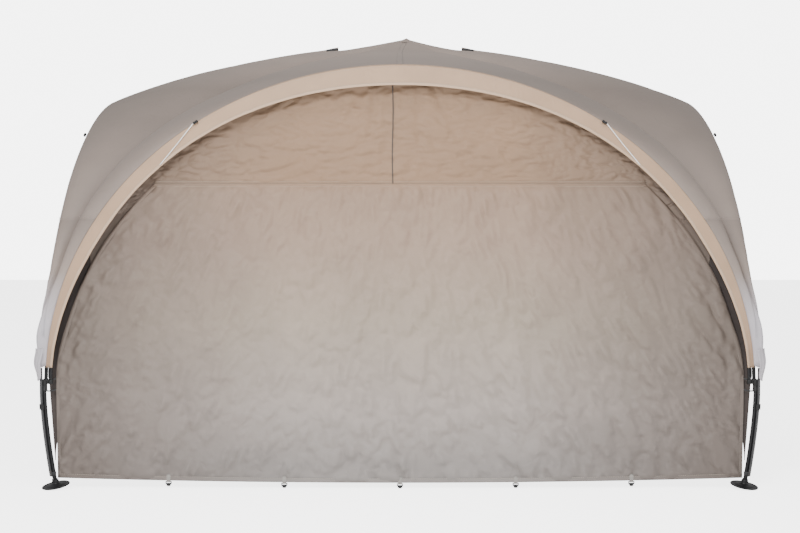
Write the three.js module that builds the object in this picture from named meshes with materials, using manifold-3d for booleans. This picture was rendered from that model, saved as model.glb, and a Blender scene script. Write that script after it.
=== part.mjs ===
// Square tarp shelter: four bent steel legs on round foot plates, four side arches, two crossed
// roof ridges, a four-panel canopy with a valance on each arch, and one fabric front wall.
// Millimetres. Origin on the ground under the crown, +X right, -Y front, +Z up.
import * as THREE from 'three';
import { mergeVertices } from 'three/addons/utils/BufferGeometryUtils.js';
import Module from 'manifold-3d';

// Driving dimensions
const FOOT_SPAN = 3500;          // between foot stems, both ways
const HUB_HEIGHT = 560;          // corner hub above the ground
const LEG_LEAN = 40;             // how far a leg leans out along X and along Y
const LEG_BOTTOM = 50;           // height of a leg tube's lower end
const LEG_RADIUS = 11;
const LEG_WALL = 1.5;
const HUB_COLLAR = 62;           // depth of the hub's collar round the leg
const FOOT_RADIUS = 70;
const FOOT_THICKNESS = 6;
const FOOT_COLLAR_RADIUS = 15;
const STEM_INSERT = 45;          // length of the foot stem inside the leg tube
const ARCH_RISE = 1567;          // arch pole apex above the hub
const ARCH_LEAN = 60;            // how far an arch apex leans inwards
const ARCH_POLE_RADIUS = 9.5;
const ARCH_POLE_WALL = 1.2;
const ARCH_POLE_SETBACK = 32;    // arch pole end to leg axis
const RIDGE_POLE_RADIUS = 8;
const RIDGE_POLE_WALL = 1.2;
const CROWN_RISE = 345;          // roof height of the crown above the arch apexes, without its tip
const SEAM_END = 60;             // canopy corner above the hub
const TIP_RISE = 62;             // height of the pointed tip
const TIP_REACH = 380;           // radius over which the tip fades out
const FABRIC = 3;                // thickness of each fabric solid
const SEAM_OVER_POLE = 18;       // canopy edge above the arch pole's centre line
const SEAM_OUT = 13;             // canopy edge outside the arch plane
const SEAM_OUTSIDE_POLE = 22;    // how much wider the canopy edge is than the pole, each side
const VALANCE_SIDE_WIDTH = 72;
const VALANCE_APEX_WIDTH = 106;
const VALANCE_END_WIDTH = 30;
const VALANCE_FLARE = THREE.MathUtils.degToRad(16);
const WALL_SEAM_HEIGHT = 1543;   // horizontal seam that the lower wall hangs from
const WALL_SEAM_INSET = 38;      // seam behind the front foot line
const WALL_HEM_INSET = 7;        // hem behind the front foot line
const WALL_HEM_HEIGHT = 28;
const WALL_HEM_RISE = 26;        // extra hem height at the sides
const WALL_LEG_GAP = 12;         // wall edge inside the foot stems
const WALL_SIDE_GAP = 62;        // wall edge inside the canopy seam at hub height
const WALL_TOP_GAP = 78;         // how much more at the wall's seam
const WALL_OVERLAP = 25;         // upper wall behind the lower wall's edge
const UPPER_SETBACK = 5;         // upper wall behind the lower wall
const UPPER_EDGE_GAP = 22;       // upper wall inside the arch pole's centre line
const FLAP_SETBACK = 14;         // storm flap behind the wall
const FLAP_TOP = 1300;
const FLAP_BOTTOM = 140;
const STRAP_WIDTH = 25;
const STRAP_THICKNESS = 1.5;
const STRAP_OFFSET = 19;         // strap outside the leg's axis
const BUCKLE_HEIGHT = 420;
const BUCKLE_DEPTH = 8;
const BUCKLE_LENGTH = 28;
const BUCKLE_RAIL = 3.5;         // buckle's side rail beside the strap
const TOGGLE_X = 1030;
const TOGGLE_RADIUS = 7.5;
const TOGGLE_LENGTH = 26;
const CORD_RADIUS = 2.5;
const HOOK_SPACING = 587;
const HOOK_WIDTH = 30;
const HOOK_HEIGHT = 24;
const HOOK_THICKNESS = 4;
const HOOK_DROP = 4;             // hook's top below the hem
const HOOK_RIM = 3;              // plastic round the hook's slot
const HOOK_SLOT = 5;             // height of that slot
const CLEARANCE = 0.5;           // between a socket and what goes in it
const GAP = 0.3;                 // between touching pieces

// Worked out from the driving dimensions
const FOOT = FOOT_SPAN / 2;
const HUB = FOOT + LEG_LEAN;
const POLE_REACH = HUB - ARCH_POLE_SETBACK;
const SEAM_REACH = POLE_REACH + SEAM_OUTSIDE_POLE;
const SEAM_RISE = ARCH_RISE + SEAM_OVER_POLE;
const RIDGE_REACH = HUB - ARCH_LEAN + SEAM_OUT;
const CROWN_HEIGHT = HUB_HEIGHT + SEAM_RISE + CROWN_RISE;
const RIDGE_POLE_DEPTH = FABRIC + RIDGE_POLE_RADIUS + 4;

const STEEL = { color: 0x1c1c1e, roughness: 0.45, metalness: 0.6 };
const PLASTIC = { color: 0x141415, roughness: 0.6, metalness: 0 };
const CANOPY = { color: 0xa29b97, roughness: 0.85, metalness: 0 };
const TRIM = { color: 0xb9a793, roughness: 0.85, metalness: 0 };
const WALL = { color: 0xb8aaa0, roughness: 0.85, metalness: 0 };
const DARK = { color: 0x4a403b, roughness: 0.9, metalness: 0 };
const WEBBING = { color: 0x2a2a2c, roughness: 0.9, metalness: 0 };
const WHITE = { color: 0xe9e6df, roughness: 0.8, metalness: 0 };

const wasm = await Module();
wasm.setup();
const shelter = new THREE.Group();
const vec = (x, y, z) => new THREE.Vector3(x, y, z);

class Route extends THREE.Curve {
  constructor(at) {
    super();
    this.at = at;
  }
  getPoint(t) {
    return this.at(t);
  }
}

function ring(radius, sides) {
  const points = [];
  for (let i = 0; i < sides; i++) {
    const a = (2 * Math.PI * (i + 0.5)) / sides;
    points.push(new THREE.Vector2(radius * Math.cos(a), radius * Math.sin(a)));
  }
  return points;
}

// A rod or, with an inner radius, a tube along a route
function tube(at, radius, inner, sides, steps) {
  const shape = new THREE.Shape(ring(radius, sides));
  if (inner > 0) shape.holes.push(new THREE.Path(ring(inner, sides)));
  return new THREE.ExtrudeGeometry(shape, { steps, bevelEnabled: false, extrudePath: new Route(at) });
}

// A closed sheet between two grids of points, with its faces turned outwards
function sheet(nu, nv, outer, inner) {
  const points = [];
  const faces = [];
  const index = (side, i, j) => side * (nu + 1) * (nv + 1) + i * (nv + 1) + j;
  for (const at of [outer, inner]) {
    for (let i = 0; i <= nu; i++) {
      for (let j = 0; j <= nv; j++) points.push(at(i, j));
    }
  }
  const quad = (a, b, c, d) => faces.push(a, b, c, a, c, d);
  for (let i = 0; i < nu; i++) {
    for (let j = 0; j < nv; j++) {
      quad(index(0, i, j), index(0, i + 1, j), index(0, i + 1, j + 1), index(0, i, j + 1));
      quad(index(1, i, j), index(1, i, j + 1), index(1, i + 1, j + 1), index(1, i + 1, j));
    }
  }
  for (let i = 0; i < nu; i++) {
    quad(index(0, i, 0), index(1, i, 0), index(1, i + 1, 0), index(0, i + 1, 0));
    quad(index(0, i, nv), index(0, i + 1, nv), index(1, i + 1, nv), index(1, i, nv));
  }
  for (let j = 0; j < nv; j++) {
    quad(index(0, 0, j), index(0, 0, j + 1), index(1, 0, j + 1), index(1, 0, j));
    quad(index(0, nu, j), index(1, nu, j), index(1, nu, j + 1), index(0, nu, j + 1));
  }
  let volume = 0;
  for (let f = 0; f < faces.length; f += 3) {
    const [a, b, c] = [points[faces[f]], points[faces[f + 1]], points[faces[f + 2]]];
    volume += a.dot(vec(0, 0, 0).crossVectors(b, c));
  }
  if (volume < 0) {
    for (let f = 0; f < faces.length; f += 3) [faces[f], faces[f + 1]] = [faces[f + 1], faces[f]];
  }
  const geometry = new THREE.BufferGeometry().setFromPoints(points);
  geometry.setIndex(faces);
  return geometry;
}

function solid(geometry) {
  const g = geometry.clone();
  g.deleteAttribute('normal');
  g.deleteAttribute('uv');
  const merged = mergeVertices(g, 1e-3);
  return new wasm.Manifold(new wasm.Mesh({
    numProp: 3,
    vertProperties: new Float32Array(merged.attributes.position.array),
    triVerts: new Uint32Array(merged.index.array),
  }));
}

function geometryOf(manifold) {
  const mesh = manifold.getMesh();
  const g = new THREE.BufferGeometry();
  g.setAttribute('position', new THREE.BufferAttribute(new Float32Array(mesh.vertProperties), 3));
  g.setIndex(new THREE.BufferAttribute(new Uint32Array(mesh.triVerts), 1));
  return g;
}

// Joins the first list and cuts away the second
function carve(add, cut = []) {
  let body = solid(add[0]);
  for (const g of add.slice(1)) body = body.add(solid(g));
  for (const g of cut) body = body.subtract(solid(g));
  return geometryOf(body);
}

function piece(name, geometry, look, turns = 0) {
  const mesh = new THREE.Mesh(geometry, new THREE.MeshStandardMaterial(look));
  mesh.name = name;
  mesh.rotation.z = (turns * Math.PI) / 2;
  shelter.add(mesh);
}

const ramp = (x, from, to) => THREE.MathUtils.smoothstep(x, from, to);
const mix = THREE.MathUtils.lerp;

// Everything for one corner or one arch is drawn at the front (right) and turned about Z
const CORNERS = ['front_right', 'back_right', 'back_left', 'front_left'];
const SIDES = ['front', 'right', 'back', 'left'];

// Leg and foot -------------------------------------------------------------------------------
const LEG_TOP = HUB_HEIGHT - 13;
const BEND_TOP = HUB_HEIGHT - HUB_COLLAR - 5;
function legAt(t) {
  const z = mix(LEG_BOTTOM, LEG_TOP, t);
  const left = Math.max(0, (BEND_TOP - z) / (BEND_TOP - LEG_BOTTOM));
  const out = FOOT + LEG_LEAN * (1 - left ** 1.5);
  return vec(out, -out, z);
}
const legSlope = (1.5 * LEG_LEAN) / (BEND_TOP - LEG_BOTTOM);
const footAxis = vec(legSlope, -legSlope, 1).normalize();
const footTilt = Math.acos(footAxis.z);
const stemLength = (LEG_BOTTOM - FOOT_RADIUS * Math.sin(footTilt)) / footAxis.z;

function leg() {
  return tube(legAt, LEG_RADIUS, LEG_RADIUS - LEG_WALL, 12, 7);
}

function footPlate() {
  const bore = (LEG_RADIUS - LEG_WALL) * Math.cos(Math.PI / 12) - CLEARANCE;
  const profile = [
    [0, 0], [FOOT_RADIUS, 0], [FOOT_RADIUS, FOOT_THICKNESS],
    [FOOT_COLLAR_RADIUS + 14, FOOT_THICKNESS + 3], [FOOT_COLLAR_RADIUS, FOOT_THICKNESS + 10],
    [FOOT_COLLAR_RADIUS, stemLength - GAP], [bore, stemLength - GAP],
    [bore, stemLength + STEM_INSERT], [0, stemLength + STEM_INSERT],
  ].map(([r, h]) => new THREE.Vector2(r, h));
  const g = new THREE.LatheGeometry(profile, 24, Math.PI / 4);
  g.rotateX(Math.PI / 2);
  const turn = new THREE.Quaternion().setFromUnitVectors(vec(0, 0, 1), footAxis);
  g.applyQuaternion(turn);
  const base = legAt(0).addScaledVector(footAxis, -stemLength);
  g.translate(base.x, base.y, base.z);
  return g;
}

// Arches -------------------------------------------------------------------------------------
const planeY = (z) => -(HUB - (ARCH_LEAN * (z - HUB_HEIGHT)) / ARCH_RISE);
function archAt(angle, reach, rise, out) {
  const z = HUB_HEIGHT + rise * Math.cos(angle);
  return vec(reach * Math.sin(angle), planeY(z) - out, z);
}
const poleAt = (angle) => archAt(angle, POLE_REACH, ARCH_RISE, 0);
const seamAt = (angle) => archAt(angle, SEAM_REACH, SEAM_RISE, SEAM_OUT);
const SEAM_LAST = Math.acos(SEAM_END / SEAM_RISE);

const POLE_STEPS = 30;
const poleRoute = (t) => poleAt((t - 0.5) * Math.PI);
const poleStations = new Route(poleRoute).getSpacedPoints(POLE_STEPS);

function archPole() {
  return tube(poleRoute, ARCH_POLE_RADIUS, ARCH_POLE_RADIUS - ARCH_POLE_WALL, 8, POLE_STEPS);
}

// Straight run that starts a little before one pole station and heads for another
function runFrom(from, to, before, length) {
  const along = vec(0, 0, 0).subVectors(to, from).normalize();
  return (t) => from.clone().addScaledVector(along, mix(-before, length, t));
}

const SPIGOT = (ARCH_POLE_RADIUS - ARCH_POLE_WALL) * Math.cos(Math.PI / 8) - CLEARANCE;
const SPIGOT_LENGTH = 45;
function spigots() {
  const front = runFrom(poleStations[POLE_STEPS], poleStations[POLE_STEPS - 1], 8, SPIGOT_LENGTH);
  const side = runFrom(poleStations[0], poleStations[1], 8, SPIGOT_LENGTH);
  return [tube(front, SPIGOT, 0, 8, 1), tube(side, SPIGOT, 0, 8, 1).rotateZ(Math.PI / 2)];
}

function post(x, y, from, to, radius, sides = 16) {
  const g = new THREE.CylinderGeometry(radius, radius, to - from, sides);
  g.rotateX(Math.PI / 2);
  g.translate(x, y, (from + to) / 2);
  return g;
}

function hub() {
  const top = HUB_HEIGHT - 1;
  const collar = LEG_RADIUS + 4.5;
  const cup = ARCH_POLE_RADIUS + 3;
  const web = new THREE.BoxGeometry(ARCH_POLE_SETBACK, 14, 24);
  const webX = web.clone().translate(HUB - ARCH_POLE_SETBACK / 2, -HUB, top - 12);
  const webY = web.clone().rotateZ(Math.PI / 2).translate(HUB, -HUB + ARCH_POLE_SETBACK / 2, top - 12);
  const bore = (LEG_RADIUS + CLEARANCE) / Math.cos(Math.PI / 16);
  return carve(
    [post(HUB, -HUB, HUB_HEIGHT - HUB_COLLAR, top, collar), webX, webY,
      post(POLE_REACH, -HUB, top - 24, top, cup), post(HUB, -POLE_REACH, top - 24, top, cup),
      ...spigots()],
    [post(HUB, -HUB, HUB_HEIGHT - HUB_COLLAR - 8, LEG_TOP + 1, bore)],
  );
}

// Roof ridges --------------------------------------------------------------------------------
// power 1 is a straight ridge (front and back), power 2 an arched one (left and right)
const roofDrop = (share, power) => CROWN_RISE * share ** power;
function ridgeAt(distance, power) {
  const z = CROWN_HEIGHT - roofDrop(distance / RIDGE_REACH, power) - RIDGE_POLE_DEPTH;
  return vec(0, -distance, z);
}
const ridgePower = (turns) => (turns % 2 === 0 ? 1 : 2);
const ridgeTube = (from, to, power, radius, inner, steps) =>
  tube((t) => ridgeAt(mix(from, to, t), power), radius, inner, 8, steps);

const TEE_BOSS = 25;
const CROWN_HUB_RADIUS = 44;
const ridgeOuter = HUB - ARCH_LEAN - TEE_BOSS - 5;
const ridgeSpigot = (RIDGE_POLE_RADIUS - RIDGE_POLE_WALL) * Math.cos(Math.PI / 8) - CLEARANCE;

function ridgePole(power) {
  const inner = RIDGE_POLE_RADIUS - RIDGE_POLE_WALL;
  return ridgeTube(ridgeOuter - 1, CROWN_HUB_RADIUS + 3, power, RIDGE_POLE_RADIUS, inner, 12);
}

function apexTee(power) {
  const [before, apex, after] = poleStations.slice(POLE_STEPS / 2 - 1, POLE_STEPS / 2 + 2);
  const along = (reach) => (t) => {
    const end = t < 0.5 ? before : after;
    return runFrom(apex, end, 0, reach)(Math.abs(2 * t - 1));
  };
  const bore = (ARCH_POLE_RADIUS + CLEARANCE) / Math.cos(Math.PI / 16);
  const collar = tube(along(38), ARCH_POLE_RADIUS + 3.5, 0, 16, 2);
  const start = HUB - ARCH_LEAN - 5;
  const boss = ridgeTube(start, ridgeOuter, power, RIDGE_POLE_RADIUS + 1, 0, 2);
  const spigot = ridgeTube(start, ridgeOuter - 55, power, ridgeSpigot, 0, 4);
  return carve([collar, boss, spigot], [tube(along(50), bore, 0, 16, 2)]);
}

function crownHub() {
  const base = CROWN_HEIGHT - RIDGE_POLE_DEPTH;
  const tip = CROWN_HEIGHT + TIP_RISE;
  const profile = [
    [0, base - 26], [CROWN_HUB_RADIUS - 8, base - 26], [CROWN_HUB_RADIUS, base - 18],
    [CROWN_HUB_RADIUS, base + 9], [CROWN_HUB_RADIUS - 8, base + 13], [7, base + 16],
    [7, tip + 1], [16, tip + 1], [16, tip + 4], [9, tip + 8], [0, tip + 9],
  ].map(([r, h]) => new THREE.Vector2(r, h));
  const body = new THREE.LatheGeometry(profile, 24).rotateX(Math.PI / 2);
  const arms = SIDES.map((side, turns) => {
    const arm = ridgeTube(30, CROWN_HUB_RADIUS + 60, ridgePower(turns), ridgeSpigot, 0, 3);
    return arm.rotateZ((turns * Math.PI) / 2);
  });
  return carve([body, ...arms]);
}

// Canopy -------------------------------------------------------------------------------------
const VALLEY_POWER = 1.25;
const VALLEY_ROOT = 2.05;
const ARCH_CELLS = 12;
const CORNER_CELLS = 2;
const RADIAL_CELLS = 7;
const TIP_HOLE = 14;

// Edge of the quarter from the front apex, round the corner, to the right apex
function canopyEdge(i) {
  if (i <= ARCH_CELLS) return seamAt((SEAM_LAST * i) / ARCH_CELLS);
  const back = 2 * ARCH_CELLS + CORNER_CELLS - i;
  if (back <= ARCH_CELLS) {
    const p = seamAt((SEAM_LAST * back) / ARCH_CELLS);
    return vec(-p.y, -p.x, p.z);
  }
  const p = seamAt(SEAM_LAST);
  const corner = (p.x - 3 * p.y) / 4;
  return vec(corner, -corner, p.z);
}

function roofPoint(edge, r) {
  const [x, y] = [Math.abs(edge.x), Math.abs(edge.y)];
  const toValley = Math.min(x, y) / Math.max(x, y);
  const power = mix(y > x ? 1 : 2, VALLEY_POWER, toValley);
  const root = mix(1, VALLEY_ROOT, toValley ** 2);
  const drop = 1 - (1 - r ** power) ** (1 / root);
  const z = CROWN_HEIGHT - (CROWN_HEIGHT - edge.z) * drop;
  const tip = TIP_RISE * Math.max(0, 1 - (r * Math.hypot(x, y)) / TIP_REACH) ** 1.5;
  return vec(edge.x * r, edge.y * r, z + tip);
}

function canopyPanel(right, front) {
  const cells = 2 * ARCH_CELLS + CORNER_CELLS;
  const at = (i, j) => {
    const edge = canopyEdge(i);
    const start = TIP_HOLE / Math.hypot(edge.x, edge.y);
    const r = mix(start, 1, Math.sin((Math.PI / 2) * (j / RADIAL_CELLS)));
    return roofPoint(edge, r);
  };
  const clampI = (i) => Math.min(Math.max(i, 0), cells);
  const clampJ = (j) => Math.min(Math.max(j, 0), RADIAL_CELLS);
  const inside = (i, j) => {
    const along = at(clampI(i + 1), j).sub(at(clampI(i - 1), j));
    const down = at(i, clampJ(j + 1)).sub(at(i, clampJ(j - 1)));
    const normal = vec(0, 0, 0).crossVectors(along, down).normalize();
    const p = at(i, j);
    const centre = vec(0, 0, HUB_HEIGHT);
    if (normal.dot(vec(0, 0, 0).subVectors(centre, p)) < 0) normal.negate();
    return p.addScaledVector(normal, FABRIC);
  };
  const place = (p, i) => {
    const x = i === 0 ? GAP : Math.max(p.x, GAP);
    const y = i === cells ? -GAP : Math.min(p.y, -GAP);
    return vec(right * x, front * y, p.z);
  };
  return sheet(cells, RADIAL_CELLS, (i, j) => place(at(i, j), i), (i, j) => place(inside(i, j), i));
}

// Valance ------------------------------------------------------------------------------------
function valanceWidth(angle) {
  const apex = VALANCE_SIDE_WIDTH + (VALANCE_APEX_WIDTH - VALANCE_SIDE_WIDTH) * Math.cos(angle) ** 8;
  const end = 1 - VALANCE_END_WIDTH / VALANCE_SIDE_WIDTH;
  return apex * (1 - end * ramp(Math.abs(angle), Math.PI / 3, Math.PI / 2));
}

// Point a given way down the valance from the seam, on its outer face
function valanceAt(angle, down) {
  const tangent = seamAt(angle + 0.01).sub(seamAt(angle - 0.01)).setY(0).normalize();
  const inward = vec(-tangent.z, 0, tangent.x);
  if (inward.z * Math.cos(angle) > 0 || inward.x * Math.sin(angle) > 0) inward.negate();
  const p = seamAt(angle).addScaledVector(inward, FABRIC + 1.5 + down * Math.cos(VALANCE_FLARE));
  p.y -= down * Math.sin(VALANCE_FLARE);
  return p;
}

function valance() {
  const cells = 2 * ARCH_CELLS;
  const at = (thickness) => (i, j) => {
    const angle = mix(-SEAM_LAST, SEAM_LAST, i / cells);
    const p = valanceAt(angle, j * valanceWidth(angle));
    return vec(p.x, p.y + thickness, p.z);
  };
  return sheet(cells, 1, at(0), at(FABRIC - 1));
}

function toggle(sign) {
  const angle = sign * Math.asin(TOGGLE_X / SEAM_REACH);
  const tangent = seamAt(angle + 0.01).sub(seamAt(angle - 0.01)).normalize();
  const g = new THREE.CapsuleGeometry(TOGGLE_RADIUS, TOGGLE_LENGTH - 2 * TOGGLE_RADIUS, 2, 10);
  g.applyQuaternion(new THREE.Quaternion().setFromUnitVectors(vec(0, 1, 0), tangent));
  const p = seamAt(angle);
  g.translate(p.x, p.y - TOGGLE_RADIUS - 4.5, p.z);
  return g;
}

// Taut cord from a front toggle across the valance to its hem
function valanceCord(sign) {
  const points = [vec(sign * 1043, -1766, 1845), vec(sign * 1120, -1774, 1744), vec(sign * 1206, -1784, 1637)];
  const at = (t) => (t < 0.5 ? points[0].clone().lerp(points[1], 2 * t) : points[1].clone().lerp(points[2], 2 * t - 1));
  return tube(at, CORD_RADIUS, 0, 8, 12);
}

// Front wall ---------------------------------------------------------------------------------
const seamY = -(FOOT - WALL_SEAM_INSET);
const hemY = -(FOOT - WALL_HEM_INSET);
const wallY = (z) => mix(seamY, hemY, (WALL_SEAM_HEIGHT - z) / (WALL_SEAM_HEIGHT - WALL_HEM_HEIGHT));

// Half width of the lower wall, kept inside the valance so that the wall can swing out
function wallHalfWidth(z) {
  const stems = FOOT - WALL_LEG_GAP;
  if (z < HUB_HEIGHT) return mix(stems, SEAM_REACH - WALL_SIDE_GAP, ramp(z, 0, HUB_HEIGHT));
  const share = (z - HUB_HEIGHT) / (WALL_SEAM_HEIGHT - HUB_HEIGHT);
  const arch = SEAM_REACH * Math.sqrt(1 - ((z - HUB_HEIGHT) / SEAM_RISE) ** 2);
  return arch - WALL_SIDE_GAP - WALL_TOP_GAP * share ** 2;
}

// The upper wall fills the arch above the seam, and its ends reach down behind the lower wall
function upperWall() {
  const [reach, rise] = [POLE_REACH - UPPER_EDGE_GAP, ARCH_RISE - UPPER_EDGE_GAP];
  const cells = 18;
  const widest = wallHalfWidth(FLAP_TOP) - WALL_OVERLAP;
  const top = (x) => HUB_HEIGHT + rise * Math.sqrt(1 - (x / reach) ** 2);
  const bottom = (x) => {
    let [low, high] = [FLAP_TOP, WALL_SEAM_HEIGHT];
    for (let n = 0; n < 20; n++) {
      const middle = (low + high) / 2;
      if (wallHalfWidth(middle) > Math.abs(x) + WALL_OVERLAP) low = middle;
      else high = middle;
    }
    return low + 3;
  };
  const at = (thickness) => (i, j) => {
    const x = widest * Math.sin(((i / cells) * 2 - 1) * (Math.PI / 2));
    return vec(x, seamY + UPPER_SETBACK + thickness, mix(bottom(x), top(x), j));
  };
  return sheet(cells, 1, at(-FABRIC / 2), at(FABRIC / 2));
}

function hemHeight(x) {
  return WALL_HEM_HEIGHT + WALL_HEM_RISE * (x / FOOT) ** 2;
}

function lowerWall() {
  const at = (thickness) => (i, j) => {
    const row = mix(WALL_SEAM_HEIGHT - 2, WALL_HEM_HEIGHT, j / 10);
    const x = wallHalfWidth(row) * ((i / 10) * 2 - 1);
    const z = mix(WALL_SEAM_HEIGHT - 2, hemHeight(x), j / 10);
    return vec(x, wallY(z) + thickness, z);
  };
  return sheet(10, 10, at(-FABRIC / 2), at(FABRIC / 2));
}

// Dark storm flap behind each wall edge, with a tail that narrows down beside the leg
function stormFlap(sign) {
  const cells = 14;
  const at = (thickness) => (i, j) => {
    const z = mix(FLAP_BOTTOM, FLAP_TOP - 5, i / cells);
    const above = Math.max(z - HUB_HEIGHT, 0);
    const outer = SEAM_REACH * Math.sqrt(1 - (above / SEAM_RISE) ** 2) - 30;
    const overlap = outer - wallHalfWidth(Math.max(z, HUB_HEIGHT)) + 12;
    const width = mix(4, overlap, ramp(z, FLAP_BOTTOM, HUB_HEIGHT));
    return vec(sign * (outer - j * width), wallY(z) + FLAP_SETBACK + thickness, z);
  };
  return sheet(cells, 1, at(0), at(FABRIC - 1));
}

function hemHook(x) {
  const top = hemHeight(x) - HOOK_DROP;
  const outline = new THREE.Shape();
  outline.moveTo(-HOOK_WIDTH / 2, 0);
  outline.lineTo(-HOOK_WIDTH / 2, -HOOK_HEIGHT * 0.45);
  outline.lineTo(-HOOK_WIDTH / 5, -HOOK_HEIGHT);
  outline.lineTo(HOOK_WIDTH / 5, -HOOK_HEIGHT);
  outline.lineTo(HOOK_WIDTH / 2, -HOOK_HEIGHT * 0.45);
  outline.lineTo(HOOK_WIDTH / 2, 0);
  const slot = new THREE.Path();
  const side = HOOK_WIDTH / 2 - HOOK_RIM;
  slot.moveTo(-side, -HOOK_RIM);
  slot.lineTo(side, -HOOK_RIM);
  slot.lineTo(side, -HOOK_RIM - HOOK_SLOT);
  slot.lineTo(-side, -HOOK_RIM - HOOK_SLOT);
  outline.holes.push(slot);
  const g = new THREE.ExtrudeGeometry(outline, { depth: HOOK_THICKNESS, bevelEnabled: false });
  g.rotateX(Math.PI / 2);
  g.translate(x, wallY(top) + HOOK_THICKNESS / 2, top);
  return g;
}

// Corner strap down the outside of the leg, and its buckle ------------------------------------
const outward = vec(Math.SQRT1_2, -Math.SQRT1_2, 0);
const across = vec(Math.SQRT1_2, Math.SQRT1_2, 0);
function strapAt(z) {
  const t = THREE.MathUtils.clamp((z - LEG_BOTTOM) / (LEG_TOP - LEG_BOTTOM), 0, 1);
  return legAt(t).setZ(z).addScaledVector(outward, STRAP_OFFSET);
}

function cornerStrap() {
  const cells = 14;
  const at = (side) => (i, j) => {
    const z = mix(LEG_BOTTOM + 14, HUB_HEIGHT + SEAM_END - 8, i / cells);
    const p = strapAt(z).addScaledVector(across, (j - 0.5) * STRAP_WIDTH);
    return p.addScaledVector(outward, (side * STRAP_THICKNESS) / 2);
  };
  return sheet(cells, 1, at(1), at(-1));
}

function buckle() {
  const opening = STRAP_WIDTH + 4 * CLEARANCE;
  const block = new THREE.BoxGeometry(opening + 2 * BUCKLE_RAIL, BUCKLE_DEPTH, BUCKLE_LENGTH);
  const slot = new THREE.BoxGeometry(opening, STRAP_THICKNESS + 2.4 * CLEARANCE, 2 * BUCKLE_LENGTH);
  const g = carve([block], [slot]);
  const run = strapAt(BUCKLE_HEIGHT + 5).sub(strapAt(BUCKLE_HEIGHT - 5)).normalize();
  const face = vec(0, 0, 0).crossVectors(run, across).normalize();
  g.applyMatrix4(new THREE.Matrix4().makeBasis(across, face, run));
  const p = strapAt(BUCKLE_HEIGHT);
  g.translate(p.x, p.y, p.z);
  return g;
}

CORNERS.forEach((corner, turns) => {
  piece(`leg_${corner}`, leg(), STEEL, turns);
  piece(`foot_plate_${corner}`, footPlate(), STEEL, turns);
  piece(`hub_${corner}`, hub(), PLASTIC, turns);
  piece(`corner_strap_${corner}`, cornerStrap(), WEBBING, turns);
  piece(`strap_buckle_${corner}`, buckle(), PLASTIC, turns);
});
SIDES.forEach((side, turns) => {
  piece(`arch_pole_${side}`, archPole(), STEEL, turns);
  piece(`apex_tee_${side}`, apexTee(ridgePower(turns)), PLASTIC, turns);
  piece(`ridge_pole_${side}`, ridgePole(ridgePower(turns)), STEEL, turns);
  piece(`valance_${side}`, valance(), TRIM, turns);
  piece(`toggle_${side}_a`, toggle(-1), PLASTIC, turns);
  piece(`toggle_${side}_b`, toggle(1), PLASTIC, turns);
});
piece('crown_hub', crownHub(), PLASTIC);
piece('canopy_front_right', canopyPanel(1, 1), CANOPY);
piece('canopy_back_right', canopyPanel(1, -1), CANOPY);
piece('canopy_back_left', canopyPanel(-1, -1), CANOPY);
piece('canopy_front_left', canopyPanel(-1, 1), CANOPY);
piece('front_wall_upper', upperWall(), WALL);
piece('front_wall_lower', lowerWall(), WALL);
piece('storm_flap_left', stormFlap(-1), DARK);
piece('storm_flap_right', stormFlap(1), DARK);
for (let i = -2; i <= 2; i++) piece(`hem_hook_${i + 3}`, hemHook(i * HOOK_SPACING), PLASTIC);
piece('valance_cord_left', valanceCord(-1), WHITE);
piece('valance_cord_right', valanceCord(1), WHITE);

export default shelter;
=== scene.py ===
"""Tarp shelter: fabric, webbing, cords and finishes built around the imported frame."""

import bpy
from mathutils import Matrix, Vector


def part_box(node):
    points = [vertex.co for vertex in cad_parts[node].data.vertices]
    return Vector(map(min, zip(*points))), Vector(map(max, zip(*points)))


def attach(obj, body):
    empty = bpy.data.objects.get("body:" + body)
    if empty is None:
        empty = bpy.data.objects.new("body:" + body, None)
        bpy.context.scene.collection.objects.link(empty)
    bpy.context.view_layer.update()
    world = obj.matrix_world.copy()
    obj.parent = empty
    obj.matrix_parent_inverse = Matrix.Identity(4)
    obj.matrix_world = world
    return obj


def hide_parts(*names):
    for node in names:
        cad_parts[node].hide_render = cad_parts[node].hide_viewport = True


bl_info = {
    "name": "Tarp shelter",
    "version": (1, 0, 0),
    "blender": (4, 5, 0),
    "location": "View3D > Sidebar > Shelter",
    "description": "Builds a square domed tarp shelter with one front wall",
    "category": "Add Mesh",
}

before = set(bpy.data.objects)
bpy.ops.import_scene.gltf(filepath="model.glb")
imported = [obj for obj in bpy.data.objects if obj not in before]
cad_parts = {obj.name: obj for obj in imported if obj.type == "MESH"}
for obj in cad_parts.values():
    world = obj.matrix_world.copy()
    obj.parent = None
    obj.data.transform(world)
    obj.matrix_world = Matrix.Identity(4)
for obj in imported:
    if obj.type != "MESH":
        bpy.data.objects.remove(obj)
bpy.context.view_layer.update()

import math

import bmesh
import bpy
import numpy as np
from bpy.props import FloatProperty, FloatVectorProperty, IntProperty, PointerProperty
from mathutils import Matrix, Vector

CORNERS = ["front_right", "back_right", "back_left", "front_left"]
SIDES = ["front", "right", "back", "left"]
OCTAGON = math.cos(math.pi / 8)
DODECAGON = math.cos(math.pi / 12)

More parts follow.
